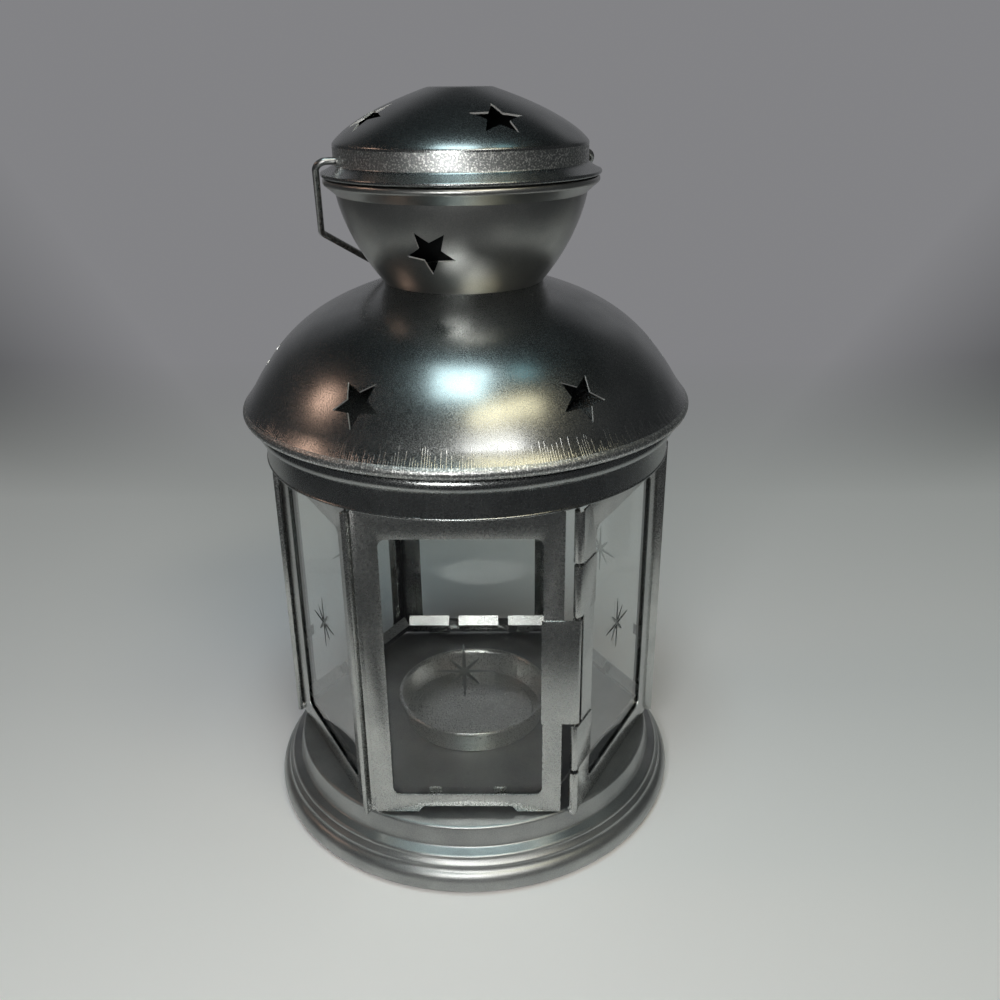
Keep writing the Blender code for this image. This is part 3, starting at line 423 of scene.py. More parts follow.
class Maker(Board):
    """A Geometry Nodes tree with named inputs, which makes one kind of mesh."""

    def __init__(self, name: str, sockets: dict[str, str]) -> None:
        """Starts the tree.

        Args:
            name: The tree's name.
            sockets: Name and socket type of each input. A material input is always there.
        """
        tree = bpy.data.node_groups.new(name, "GeometryNodeTree")
        super().__init__(tree)
        tree.interface.new_socket("Geometry", in_out="OUTPUT", socket_type="NodeSocketGeometry")
        self.keys: dict[str, str] = {}
        for label, kind in {**sockets, "Material": "Material"}.items():
            made = tree.interface.new_socket(label, in_out="INPUT", socket_type=f"NodeSocket{kind}")
            self.keys[label] = made.identifier
        self.source = self.node("NodeGroupInput").outputs

    def index(self) -> Socket:
        """The number of each point, from 0."""
        return self.node("GeometryNodeInputIndex").outputs[0]

    def ring(self, steps: Any, radius: Any) -> Socket:
        """A circle of straight runs."""
        inputs = {"Resolution": steps, "Radius": radius}
        return self.node("GeometryNodeCurvePrimitiveCircle", inputs, mode="RADIUS").outputs[0]

    def ball(self, radius: Any, segments: int = 24, rings: int = 12) -> Socket:
        """A ball of so many segments round and rings up."""
        inputs = {"Segments": segments, "Rings": rings, "Radius": radius}
        return self.node("GeometryNodeMeshUVSphere", inputs).outputs[0]

    def swept(self, path: Socket, profile: Socket, caps: bool) -> Socket:
        """A profile carried along a path, with or without end caps."""
        inputs = {0: path, "Profile Curve": profile, "Fill Caps": caps}
        return self.node("GeometryNodeCurveToMesh", inputs).outputs[0]

    def moved(self, piece: Socket, turn: Socket | None = None, place: Socket | None = None) -> Socket:
        """Turns a piece and then moves it.

        Args:
            piece: Socket of the piece.
            turn: Its turn about X, Y and Z.
            place: Where it goes.

        Returns:
            Socket of the piece in its place.
        """
        motion = {"Rotation": turn, "Translation": place}
        given = {key: value for key, value in motion.items() if value is not None}
        return self.node("GeometryNodeTransform", {0: piece, **given}).outputs[0]

    def copies(self, count: Any, piece: Socket, turn: Any = 0.0, place: Socket | None = None,
               scale: Socket | None = None) -> Socket:
        """Copies of a piece about the axis or along a line.

        Args:
            count: How many.
            piece: Socket of the piece.
            turn: Turn of each copy about Z.
            place: Where each copy stands, if not at the origin.
            scale: Scale of each copy.

        Returns:
            Socket of the copies.
        """
        points = self.node("GeometryNodePoints", {"Count": count}).outputs[0]
        if place is not None:
            points = self.node("GeometryNodeSetPosition", {0: points, "Position": place}).outputs[0]
        inputs = {0: points, "Instance": piece, "Rotation": self.vector(z=turn)}
        if scale is not None:
            inputs["Scale"] = scale
        return self.node("GeometryNodeInstanceOnPoints", inputs).outputs[0]

    def close(self, geometry: Socket) -> None:
        """Ends the tree: instances become real, and the material is set.

        Args:
            geometry: Socket of the finished geometry.
        """
        real = self.node("GeometryNodeRealizeInstances", {0: geometry}).outputs[0]
        dressed = self.node("GeometryNodeSetMaterial", {0: real, "Material": self.source["Material"]})
        self.node("NodeGroupOutput", {0: dressed.outputs[0]})

    def mesh(self, name: str, values: dict[str, Any]) -> bpy.types.Mesh:
        """Runs the tree once.

        Args:
            name: Name of the mesh.
            values: Value of each input.

        Returns:
            A plain mesh.
        """
        host = bpy.data.objects.new(name, bpy.data.meshes.new(f"{name}_host"))
        bpy.context.scene.collection.objects.link(host)
        modifier = host.modifiers.new(name, "NODES")
        modifier.node_group = self.tree
        for label, value in values.items():
            modifier[self.keys[label]] = value
        made = plain_mesh(host)
        made.name = name
        host.modifiers.remove(modifier)
        bpy.data.objects.remove(host)
        return made

    def mesh_on(self, name: str, corners: list[tuple[float, float, float]], closed: bool,
                values: dict[str, Any]) -> bpy.types.Mesh:
        """Runs the tree once, with a line of straight runs as its Line input.

        Args:
            name: Name of the mesh.
            corners: Corners of the line.
            closed: Whether the line closes.
            values: Value of each other input.

        Returns:
            A plain mesh.
        """
        curve = bpy.data.curves.new(f"{name}_line", "CURVE")
        curve.dimensions = "3D"
        spline = curve.splines.new("POLY")
        spline.points.add(len(corners) - 1)
        for point, corner in zip(spline.points, corners):
            point.co = (*corner, 1.0)
        spline.use_cyclic_u = closed
        guide = add_piece(f"{name}_line", curve)
        made = self.mesh(name, {"Line": guide, **values})
        bpy.data.objects.remove(guide)
        bpy.data.curves.remove(curve)
        return made


def plain_mesh(piece: bpy.types.Object) -> bpy.types.Mesh:
    """The mesh of an object with its modifiers worked in.

    Args:
        piece: The object.

    Returns:
        A new mesh.
    """
    bpy.context.view_layer.update()
    graph = bpy.context.evaluated_depsgraph_get()
    return bpy.data.meshes.new_from_object(piece.evaluated_get(graph), depsgraph=graph)


def add_piece(name: str, data: bpy.types.ID) -> bpy.types.Object:
    """An object at the origin, with its place in its data.

    Args:
        name: The piece's name.
        data: Its mesh, curve, light or camera.

    Returns:
        The object.
    """
    piece = bpy.data.objects.new(name, data)
    bpy.context.scene.collection.objects.link(piece)
    return piece


def shade(mesh: bpy.types.Mesh) -> None:
    """Shades a mesh smooth between its creases."""
    mesh.shade_smooth()
    mesh.set_sharp_from_angle(angle=math.radians(CREASE))


def settle(piece: bpy.types.Object) -> None:
    """Works a piece's modifiers into its mesh and shades it smooth between its creases.

    Args:
        piece: The piece.
    """
    made = plain_mesh(piece)
    piece.modifiers.clear()
    old = piece.data
    piece.data = made
    made.name = piece.name
    bpy.data.meshes.remove(old)
    shade(made)


def cut_away(piece: bpy.types.Object, cutter: bpy.types.Mesh, crossing: bool = False) -> None:
    """Cuts a piece with a mesh. The cut faces take the cutter's material.

    Args:
        piece: The piece.
        cutter: The closed mesh to take away.
        crossing: Whether parts of the cutter cross each other.
    """
    helper = add_piece(f"{piece.name}_cutter", cutter)
    modifier = piece.modifiers.new("cut", "BOOLEAN")
    modifier.operation = "DIFFERENCE"
    modifier.solver = "EXACT"
    modifier.use_self = crossing
    modifier.material_mode = "TRANSFER"
    modifier.object = helper
    settle(piece)
    bpy.data.objects.remove(helper)
    bpy.data.meshes.remove(cutter)


def hand_over(piece: bpy.types.Object, body: str, slot: Slot, *nodes: str) -> None:
    """Puts a finished piece on its body, in place of its CAD nodes.

    Args:
        piece: The piece.
        body: Name of the body that it rides on.
        slot: Its material slot; not used.
        nodes: The CAD nodes that it stands for.
    """
    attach(piece, body)
    if nodes:
        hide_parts(*nodes)
    LOG.info("%s: %d faces on %s", piece.name, len(piece.data.polygons), body)


def arc(centre: Point, radius: float, start: float, end: float, count: int) -> Line:
    """Points on an arc.

    Args:
        centre: Its centre.
        radius: Its radius.
        start: First angle, in degrees.
        end: Last angle, in degrees.
        count: Number of steps.

    Returns:
        The points.
    """
    turns = [math.radians(start + (end - start) * step / count) for step in range(count + 1)]
    return [(centre[0] + radius * math.cos(turn), centre[1] + radius * math.sin(turn)) for turn in turns]


def pulled_curve(start: Point, leave: Pull, end: Point, arrive: Pull, count: int) -> Line:
    """A smooth curve between two points.

    Args:
        start: First point.
        leave: Pull of the slope at the first point.
        end: Last point.
        arrive: Pull of the slope at the last point.
        count: Number of steps.

    Returns:
        The points.
    """
    ends = Vector(start), Vector(end)
    turns = math.radians(leave[1]), math.radians(arrive[1])
    slopes = [Vector((math.cos(turn), math.sin(turn))) for turn in turns]
    handles = ends[0] + slopes[0] * leave[0], ends[1] - slopes[1] * arrive[0]
    points = []
    for step in range(count + 1):
        share = step / count
        rest = 1.0 - share
        points.append(tuple(ends[0] * rest ** 3 + handles[0] * 3 * rest ** 2 * share
                            + handles[1] * 3 * rest * share ** 2 + ends[1] * share ** 3))
    return points


def distance_to(line: Line, point: Vector) -> float:
    """Shortest distance from a point to a line of straight runs.

    Args:
        line: The line.
        point: The point.

    Returns:
        The distance.
    """
    best = math.inf
    for start, end in zip(line, line[1:]):
        first = Vector(start)
        run = Vector(end) - first
        share = min(max((point - first).dot(run) / max(run.length_squared, NO_LENGTH), 0.0), 1.0)
        best = min(best, (first + run * share - point).length)
    return best


def walled(line: Line, wall: float) -> Line:
    """Closes an outer line with the inner face of the sheet, which lies to the right of the line's way.

    Args:
        line: The outer line from the axis outwards and down.
        wall: Thickness of the sheet.

    Returns:
        The closed outline.
    """
    points = [Vector(point) for point in line]
    inner = []
    for index, point in enumerate(points):
        before = (point - points[index - 1]).normalized() if index else None
        after = (points[index + 1] - point).normalized() if index + 1 < len(points) else None
        along = ((before or after) + (after or before)).normalized()
        stretch = max(along.dot(after or before), MITRE_LIMIT)
        place = point + Vector((along.y, -along.x)) * wall / stretch
        if place.x < ON_AXIS or distance_to(line, place) > wall * WALL_SHARE:
            inner.append((max(place.x, 0.0), place.y))
    return line + inner[::-1]


def height_on(line: Line, height: float) -> tuple[float, float]:
    """Where a turned piece's outer line passes a height.

    Args:
        line: The outer line.
        height: The height.

    Returns:
        The radius there, and how far the outward direction leans up, in radians.
    """
    for (near, above), (far, below) in zip(line, line[1:]):
        if min(above, below) <= height <= max(above, below) and above != below:
            radius = near + (far - near) * (height - above) / (below - above)
            return radius, math.atan2(far - near, above - below)
    raise ValueError("the line doesn't reach this height")


def lathe_maker() -> Maker:
    """The tree that turns a closed outline round the lantern's axis, slightly uneven as a pressing is.

    Returns:
        The tree.
    """
    maker = Maker("turned_sheet", {"Line": "Object", "Steps": "Int", "Core": "Float",
                                   "Unevenness": "Float", "Patch Scale": "Float"})
    source = maker.source
    outline = maker.node("GeometryNodeObjectInfo", {0: source["Line"]}).outputs["Geometry"]
    ring = maker.ring(source["Steps"], source["Core"])
    upright = maker.node("GeometryNodeSetCurveNormal", {0: ring}, mode="Z_UP").outputs[0]
    turned = maker.swept(upright, outline, caps=False)
    merged = maker.node("GeometryNodeMergeByDistance", {0: turned, "Distance": WELD}).outputs[0]
    place = maker.node("GeometryNodeInputPosition").outputs[0]
    noise = maker.node("ShaderNodeTexNoise", {"Vector": place, "Scale": source["Patch Scale"], "Detail": 1.0})
    centred = maker.vector_math("SUBTRACT", noise.outputs["Color"], (0.5, 0.5, 0.5))
    shift = maker.node("ShaderNodeVectorMath", {0: centred, "Scale": source["Unevenness"]},
                       operation="SCALE").outputs[0]
    maker.close(maker.node("GeometryNodeSetPosition", {0: merged, "Offset": shift}).outputs[0])
    return maker


def star_maker() -> Maker:
    """The tree that sets star-shaped punches evenly round a turned piece.

    Returns:
        The tree.
    """
    maker = Maker("star_punches", {"Count": "Int", "Points": "Int", "Tip": "Float", "Notch": "Float",
                                   "Depth": "Float", "Twist": "Float", "Lean": "Float", "Radius": "Float",
                                   "Height": "Float", "Turn": "Float"})
    source = maker.source
    star = maker.node("GeometryNodeCurveStar", {"Points": source["Points"], "Inner Radius": source["Notch"],
                                                "Outer Radius": source["Tip"]}).outputs[0]
    low = maker.vector(z=maker.math("MULTIPLY", source["Depth"], -1.0))
    high = maker.vector(z=source["Depth"])
    spine = maker.node("GeometryNodeCurvePrimitiveLine", {"Start": low, "End": high}).outputs[0]
    punch = maker.swept(spine, star, caps=True)
    spun = maker.vector(z=maker.math("ADD", source["Twist"], math.pi / 2))
    tipped = maker.vector(y=maker.math("SUBTRACT", math.pi / 2, source["Lean"]))
    place = maker.vector(x=source["Radius"], z=source["Height"])
    placed = maker.moved(maker.moved(punch, turn=spun), turn=tipped, place=place)
    step = maker.math("DIVIDE", math.tau, source["Count"])
    turn = maker.math("MULTIPLY_ADD", maker.index(), step, source["Turn"])
    maker.close(maker.copies(source["Count"], placed, turn))
    return maker


@dataclass
class Stars:
    """A ring of stars punched through a turned piece."""

    count: int
    turn: float
    height: float
    twist: float
    tip: float = 0.0067
    notch: float = 0.0030
    depth: float = 0.003
    points: int = 5

    def punches(self, maker: Maker, line: Line, material: bpy.types.Material) -> bpy.types.Mesh:
        """Makes the punches.

        Args:
            maker: The tree from star_maker.
            line: The outer line of the piece.
            material: Finish of the cut edges.

        Returns:
            The mesh to cut with.
        """
        radius, lean = height_on(line, self.height)
        return maker.mesh("star_punches", {
            "Count": self.count, "Points": self.points, "Tip": self.tip, "Notch": self.notch,
            "Depth": self.depth, "Twist": math.radians(self.twist), "Lean": lean, "Radius": radius,
            "Height": self.height, "Turn": math.radians(self.turn), "Material": material})


@dataclass
class Press:
    """The tools that turn and punch the round pieces."""

    lathe: Maker
    punch: Maker
    finishes: Finishes
    inward: float = -0.05      # faces that look out by less than this belong to the inside
    level: float = 0.97        # and so do those that look down, or up, by more than this

    def turn(self, name: str, line: Line, material: bpy.types.Material, inside: Inside = Inside.SAME,
             unevenness: float = 0.00012, patches: float = 55.0) -> bpy.types.Object:
        """Turns a sheet piece from its outer line.

        Args:
            name: The piece's name.
            line: The outer line, from the axis outwards and down.
            material: Its finish.
            inside: What the inner faces get.
            unevenness: How far the sheet strays from true, in metres.
            patches: Patches of that unevenness per metre.

        Returns:
            The piece.
        """
        # the outline stands off the lathe's ring by the ring's own radius
        core = SHEET_WALL
        corners = [(radius - core, -height, 0.0) for radius, height in walled(line, SHEET_WALL)]
        mesh = self.lathe.mesh_on(name, corners, True, {
            "Steps": TURN_STEPS, "Core": core, "Unevenness": unevenness, "Patch Scale": patches,
            "Material": material})
        work = bmesh.new()
        work.from_mesh(mesh)
        bmesh.ops.remove_doubles(work, verts=work.verts, dist=WELD)
        bmesh.ops.recalc_face_normals(work, faces=work.faces)
        work.to_mesh(mesh)
        work.free()
        shade(mesh)
        # painted shade on the inner faces
        if inside is not Inside.SAME:
            self.paint_shade_on_inner_faces(mesh, inside is Inside.DULL_AND_TOP)
        return add_piece(name, mesh)

    def paint_shade_on_inner_faces(self, mesh: bpy.types.Mesh, top: bool) -> None:
        """Paints shade on the faces that look towards the axis or down: they get the near-black painted-shade
        finish.

        Args:
            mesh: The turned mesh.
            top: Whether level faces that look up get it too.
        """
        mesh.materials.append(self.finishes.inner)
        for face in mesh.polygons:
            outward = Vector((face.center.x, face.center.y, 0.0)).normalized()
            hidden_top = top and face.normal.z > self.level
            if face.normal.dot(outward) < self.inward or face.normal.z < -self.level or hidden_top:
                face.material_index = 1

    def punch_stars(self, piece: bpy.types.Object, line: Line, stars: Stars) -> None:
        """Punches a ring of stars through a piece with this outer line."""
        cut_away(piece, stars.punches(self.punch, line, self.finishes.raw_cut))


@dataclass
class BasePan:
    """The pressed round base: deck, step, cove, two small beads, bold foot bead and turned-in foot."""

    press: Press
    deck_edge: float = 0.0009
    deck_sweep: Sweep = (90, 8, 8)
    spread: float = 0.0075
    step_height: float = 0.0062
    step_pull: Pull = (0.0006, -88)
    cove_pull: Pull = (0.0006, -8)
    cove_steps: int = 6
    bead_radius: float = 0.0010
    bead_setback: float = 0.0012
    upper_sweep: Sweep = (90, -10, 8)
    lower_sweep: Sweep = (60, -20, 8)
    foot_height: float = 0.0074
    foot_sweep: Sweep = (60, -60, 18)
    foot_width: float = 0.0024

    def line(self) -> Line:
        """The outer line, from the frame's own size.

        Returns:
            The points.
        """
        _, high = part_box("base_pan")
        radius, deck = high.x, high.z
        deck_radius = radius - self.spread
        step_foot = deck - self.step_height
        upper = (radius - 3 * self.bead_setback - self.bead_radius, self.foot_height + 3 * self.bead_radius)
        lower = (radius - 2 * self.bead_setback - self.bead_radius, self.foot_height + self.bead_radius)
        bead = self.foot_height / 2 / math.sin(math.radians(self.foot_sweep[0]))
        foot = arc((radius - bead, self.foot_height / 2), bead, *self.foot_sweep)
        return [
            (0.0, deck),
            *arc((deck_radius - self.deck_edge, deck - self.deck_edge), self.deck_edge, *self.deck_sweep),
            *pulled_curve((deck_radius + self.deck_edge, step_foot + self.deck_edge), self.step_pull,
                          (deck_radius + 2 * self.deck_edge, step_foot), self.cove_pull, self.cove_steps),
            *arc(upper, self.bead_radius, *self.upper_sweep),
            *arc(lower, self.bead_radius, *self.lower_sweep),
            *foot,
            (foot[-1][0] - self.foot_width, 0.0),
        ]

    def build(self) -> None:
        """Turns the base and hands it over."""
        piece = self.press.turn("base_pan_pressed", self.line(), self.press.finishes.base)
        hand_over(piece, HOUSING, Slot.SHEET, "base_pan")


@dataclass
class TealightCup:
    """The dish for the candle, with a rolled rim and a step pressed in its floor."""

    press: Press
    floor_inset: float = 0.0021
    bead: float = 0.0007
    rim_sweep: Sweep = (150, -60, 12)
    foot_sweep: Sweep = (-10, -90, 6)
    step_inset: float = 0.0052
    step_height: float = 0.0006

    def line(self) -> Line:
        """The outer line.

        Returns:
            The points.
        """
        low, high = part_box("tealight_cup")
        radius = high.x
        rim = high.z - self.bead
        floor_radius = radius - self.floor_inset
        step_radius = radius - self.step_inset
        return [
            *arc((radius - self.bead, rim), self.bead, *self.rim_sweep),
            (radius - self.bead, rim - 2 * self.bead),
            *arc((floor_radius - self.bead, low.z + self.bead), self.bead, *self.foot_sweep),
            (step_radius, low.z),
            (step_radius - self.step_height, low.z + self.step_height),
            (0.0, low.z + self.step_height),
        ]

    def build(self) -> None:
        """Turns the cup and hands it over."""
        piece = self.press.turn("tealight_cup_pressed", self.line(), self.press.finishes.bright)
        hand_over(piece, HOUSING, Slot.BRIGHT, "tealight_cup")


@dataclass
class Collar:
    """The ring between cage and roof: plate, bead and skirt with a beaded lip."""

    press: Press
    bead_radius: float = 0.0024
    bead_sweep: Sweep = (90, -75, 18)
    lip_bead: float = 0.0004
    lip_sweep: Sweep = (60, -90, 6)
    plate_width: float = 0.0155

    def line(self) -> Line:
        """The outer line.

        Returns:
            The points.
        """
        low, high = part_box("collar")
        skirt = high.x - self.bead_radius
        bead = (skirt, high.z - self.bead_radius)
        lip = (skirt, low.z + self.lip_bead)
        return [
            (high.x - self.plate_width, high.z),
            *arc(bead, self.bead_radius, *self.bead_sweep),
            (skirt, bead[1] - self.bead_radius - self.lip_bead),
            *arc(lip, self.lip_bead, *self.lip_sweep),
        ]

    def build(self) -> None:
        """Turns the collar and hands it over."""
        piece = self.press.turn("collar_pressed", self.line(), self.press.finishes.upper, Inside.DULL_AND_TOP)
        hand_over(piece, HOUSING, Slot.SHEET, "collar")


@dataclass
class Roof:
    """The domed roof with six stars, its rim and turned-in flange, and the eyelet that grips the bowl."""

    press: Press
    neck_radius: float = 0.0217
    neck_ease: float = 0.0012
    eyelet_radius: float = 0.0189
    eyelet_flange: float = 0.0015
    eyelet_height: float = 0.0011
    top_pull: Pull = (0.0200, -17.0)
    foot_pull: Pull = (0.0180, -59.5)
    dome_steps: int = 56
    rim_bead: float = 0.0016
    rim_sweep: Sweep = (50, -90, 14)
    rim_flange: float = 0.0051
    flare_width: float = 0.0029
    flare_height: float = 0.0043
    crease_rise: float = 0.0036
    speckled_reach: Range = (0.0040, 0.0004)     # below the crease
    unevenness: float = 0.0002
    patches: float = 40.0
    stars: int = 6
    star_rise: float = 0.0146
    star_turn: float = -116.35
    star_twist: float = -14.0

    def line(self) -> Line:
        """The outer line.

        Returns:
            The points.
        """
        low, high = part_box("roof")
        neck = high.z - self.eyelet_height
        rim = (high.x - self.rim_bead, low.z + self.rim_bead)
        foot = (high.x - self.flare_width, rim[1] + self.flare_height)
        flange = neck + self.eyelet_height
        return [
            (self.eyelet_radius + self.eyelet_flange, flange),
            (self.eyelet_radius, flange),
            (self.eyelet_radius, neck),
            (self.neck_radius, neck),
            *pulled_curve((self.neck_radius + self.neck_ease, neck - self.neck_ease / 2), self.top_pull,
                          foot, self.foot_pull, self.dome_steps),
            *arc(rim, self.rim_bead, *self.rim_sweep),
            (rim[0] - self.rim_flange, rim[1] - self.rim_bead),
        ]

    def build(self) -> None:
        """Turns and punches the roof and hands it over."""
        line = self.line()
        low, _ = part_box("roof")
        piece = self.press.turn("roof_pressed", line, self.press.finishes.roof, Inside.DULL, self.unevenness,
                                self.patches)
        self.press.punch_stars(piece, line, Stars(self.stars, self.star_turn, low.z + self.star_rise,
                                                  self.star_twist))
        hand_over(piece, HOUSING, Slot.SHEET, "roof")


@dataclass
class Bail:
    """The wire bail, bent on its own axis and leaning back against the neck."""

    finishes: Finishes
    hole_clearance: float = 0.00035
    hole_steps: int = 24
    wire: float = 0.0009
    wire_steps: int = 20
    bend: float = 0.0026
    bend_steps: int = 10
    leg: float = 0.0241
    closing: float = 0.0030
    reach: float = 0.0397
    grip_half: float = 0.0160
    end: float = 0.0308
    span: float = 0.0387

    def joint(self) -> dict[str, Any]:
        """The bail's joint in the record."""
        return next(item for item in frame["joints"] if item["child"] == BAIL)

    def height(self) -> float:
        """Height of the bail's axis."""
        return self.joint()["pos_m"][2]

    def place(self) -> Matrix:
        """Matrix from the bail's own axes, with X along its two ends, to the row frame."""
        turn = math.atan2(self.joint()["axis"][1], self.joint()["axis"][0])
        return Matrix.Translation((0.0, 0.0, self.height())) @ Matrix.Rotation(turn, 4, "Z")

    def lean(self) -> float:
        """How far the bail leans back at rest, from its box in the frame.

        Returns:
            Radians from straight down.
        """
        low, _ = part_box("bail")
        drop = self.height() - low.z - self.wire
        return math.acos(min(drop / self.reach, 1.0))

    def drill(self, piece: bpy.types.Object) -> None:
        """Drills the bail's two holes through a piece, with one long rod.

        Args:
            piece: The cap or the bowl.
        """
        rod = bpy.data.meshes.new("bail_holes")
        radius = self.wire + self.hole_clearance
        work = bmesh.new()
        bmesh.ops.create_cone(work, cap_ends=True, segments=self.hole_steps, radius1=radius, radius2=radius,
                              depth=2 * self.span, matrix=self.place() @ Matrix.Rotation(math.pi / 2, 4, "Y"))
        work.to_mesh(rod)
        work.free()
        rod.materials.append(self.finishes.raw_cut)
        cut_away(piece, rod)

    def wire_maker(self) -> Maker:
        """The tree that bends a round wire along a line of straight runs.

        Returns:
            The tree.
        """
        maker = Maker("bent_wire", {"Line": "Object", "Bend": "Float", "Wire": "Float"})
        run = maker.node("GeometryNodeObjectInfo", {0: maker.source["Line"]}).outputs["Geometry"]
        bent = maker.node("GeometryNodeFilletCurve", {0: run, "Count": self.bend_steps,
                                                      "Radius": maker.source["Bend"]}, mode="POLY").outputs[0]
        maker.close(maker.swept(bent, maker.ring(self.wire_steps, maker.source["Wire"]), caps=True))
        return maker

    def build(self) -> None:
        """Bends the bail and hands it over."""
        half = [(self.end, 0.0, 0.0), (self.span, 0.0, 0.0), (self.span - self.closing, 0.0, -self.leg),
                (self.grip_half, 0.0, -self.reach)]
        corners = half + [(-x, y, z) for x, y, z in reversed(half)]
        mesh = self.wire_maker().mesh_on("bail_wire", corners, False, {
            "Bend": self.bend, "Wire": self.wire, "Material": self.finishes.wire})
        mesh.transform(self.place() @ Matrix.Rotation(self.lean(), 4, "X"))
        shade(mesh)
        hand_over(add_piece("bail_wire", mesh), BAIL, Slot.WIRE, "bail")


@dataclass
class Bowl:
    """The bowl above the roof, with a lip, a spigot inside the cap and three stars."""

    press: Press
    bail: Bail
    lip_bead: float = 0.0011
    lip_sweep: Sweep = (90, -60, 14)
    shoulder_inset: float = 0.0032
    shoulder_pull: Pull = (0.0080, -100.0)
    side_steps: int = 48
    foot_rise: float = 0.0007
    foot_radius: float = 0.0221
    foot_pull: Pull = (0.0083, -130.0)
    foot_ease: float = 0.0010
    foot_sweep: Sweep = (-40, -90, 5)
    foot_hole: float = 0.0192
    spigot_height: float = 0.0064
    spigot_inset: float = 0.0039
    stars: int = 3
    star_rise: float = 0.0117
    star_turn: float = -103.4
    star_twist: float = -22.0

    def line(self) -> Line:
        """The outer line.

        Returns:
            The points.
        """
        low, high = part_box("upper_bowl")
        radius = high.x
        top = high.z - self.spigot_height
        lip = (radius - self.lip_bead, top - self.lip_bead)
        shoulder = (radius - self.shoulder_inset, lip[1] - self.shoulder_inset)
        spigot = radius - self.spigot_inset
        return [
            (spigot, high.z),
            (spigot, top),
            *arc(lip, self.lip_bead, *self.lip_sweep),
            *pulled_curve(shoulder, self.shoulder_pull, (self.foot_radius, low.z + self.foot_rise),
                          self.foot_pull, self.side_steps),
            *arc((self.foot_radius - self.foot_ease, low.z + self.foot_ease), self.foot_ease,
                 *self.foot_sweep),
            (self.foot_hole, low.z),
        ]

    def build(self) -> None:
        """Turns, punches and drills the bowl and hands it over."""
        line = self.line()
        low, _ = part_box("upper_bowl")
        piece = self.press.turn("upper_bowl_pressed", line, self.press.finishes.bowl, Inside.DULL)
        self.press.punch_stars(piece, line, Stars(self.stars, self.star_turn, low.z + self.star_rise,
                                                  self.star_twist))
        self.bail.drill(piece)
        hand_over(piece, HOUSING, Slot.SHEET, "upper_bowl")


@dataclass
class Cap:
    """The cap: flat crown, domed slope with four stars, upright band, flare and lip."""

    press: Press
    bail: Bail
    flare: float = 0.0035
    flare_start: float = 0.0006
    flare_pull: Pull = (0.0007, -90)
    flare_steps: int = 10
    lip_bead: float = 0.0006
    lip_step: Point = (0.0002, 0.0005)
    lip_pull: Pull = (0.0010, -22)
    lip_sweep: Sweep = (50, -90, 10)
    skirt_height: float = 0.0027
    band_height: float = 0.0050
    shoulder: float = 0.0008
    shoulder_pull: Pull = (0.0070, -48.0)
    shoulder_sweep: Sweep = (40, 0, 5)
    dome_steps: int = 48
    crown_radius: float = 0.0084
    crown_edge: float = 0.0003
    crown_pull: Pull = (0.0090, -17.5)
    speckled_rise: Range = (0.0030, 0.0074)      # above the lip's foot
    stars: int = 4
    star_rise: float = 0.0068
    star_turn: float = -66.0
    star_twist: float = 10.0
    star_tip: float = 0.0070

    def line(self) -> Line:
        """The outer line.

        Returns:
            The points.
        """
        low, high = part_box("cap")
        radius = high.x
        band = radius - self.flare
        lip = (radius - self.lip_bead, low.z + self.lip_bead)
        band_foot = low.z + self.skirt_height
        band_head = band_foot + self.band_height
        return [
            (0.0, high.z),
            (self.crown_radius - self.crown_edge, high.z),
            *pulled_curve((self.crown_radius, high.z), self.crown_pull,
                          (band - self.shoulder / 2, band_head + self.shoulder), self.shoulder_pull,
                          self.dome_steps),
            *arc((band - self.shoulder, band_head), self.shoulder, *self.shoulder_sweep),
            *pulled_curve((band, band_foot + self.flare_start), self.flare_pull,
                          (lip[0] + self.lip_step[0], lip[1] + self.lip_step[1]), self.lip_pull,
                          self.flare_steps),
            *arc(lip, self.lip_bead, *self.lip_sweep),
        ]

    def build(self) -> None:
        """Turns, punches and drills the cap and hands it over."""
        line = self.line()
        low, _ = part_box("cap")
        piece = self.press.turn("cap_pressed", line, self.press.finishes.upper, Inside.DULL)
        height = low.z + self.skirt_height + self.band_height + self.star_rise
        self.press.punch_stars(piece, line, Stars(self.stars, self.star_turn, height, self.star_twist,
                                                  self.star_tip))
        self.bail.drill(piece)
        hand_over(piece, HOUSING, Slot.SHEET, "cap")


def merged_copy(node: str, name: str) -> bpy.types.Object:
    """A copy of a CAD node with its triangles joined into whole faces.

    Args:
        node: The CAD node.
        name: The copy's name.

    Returns:
        The copy.
    """
    mesh = frame["nodes"][node].data.copy()
    mesh.materials.clear()
    work = bmesh.new()
    work.from_mesh(mesh)
    bmesh.ops.remove_doubles(work, verts=work.verts, dist=2 * WELD)
    bmesh.ops.dissolve_limit(work, angle_limit=math.radians(FLAT), verts=work.verts, edges=work.edges)
    work.to_mesh(mesh)
    work.free()
    mesh.name = name
    return add_piece(name, mesh)


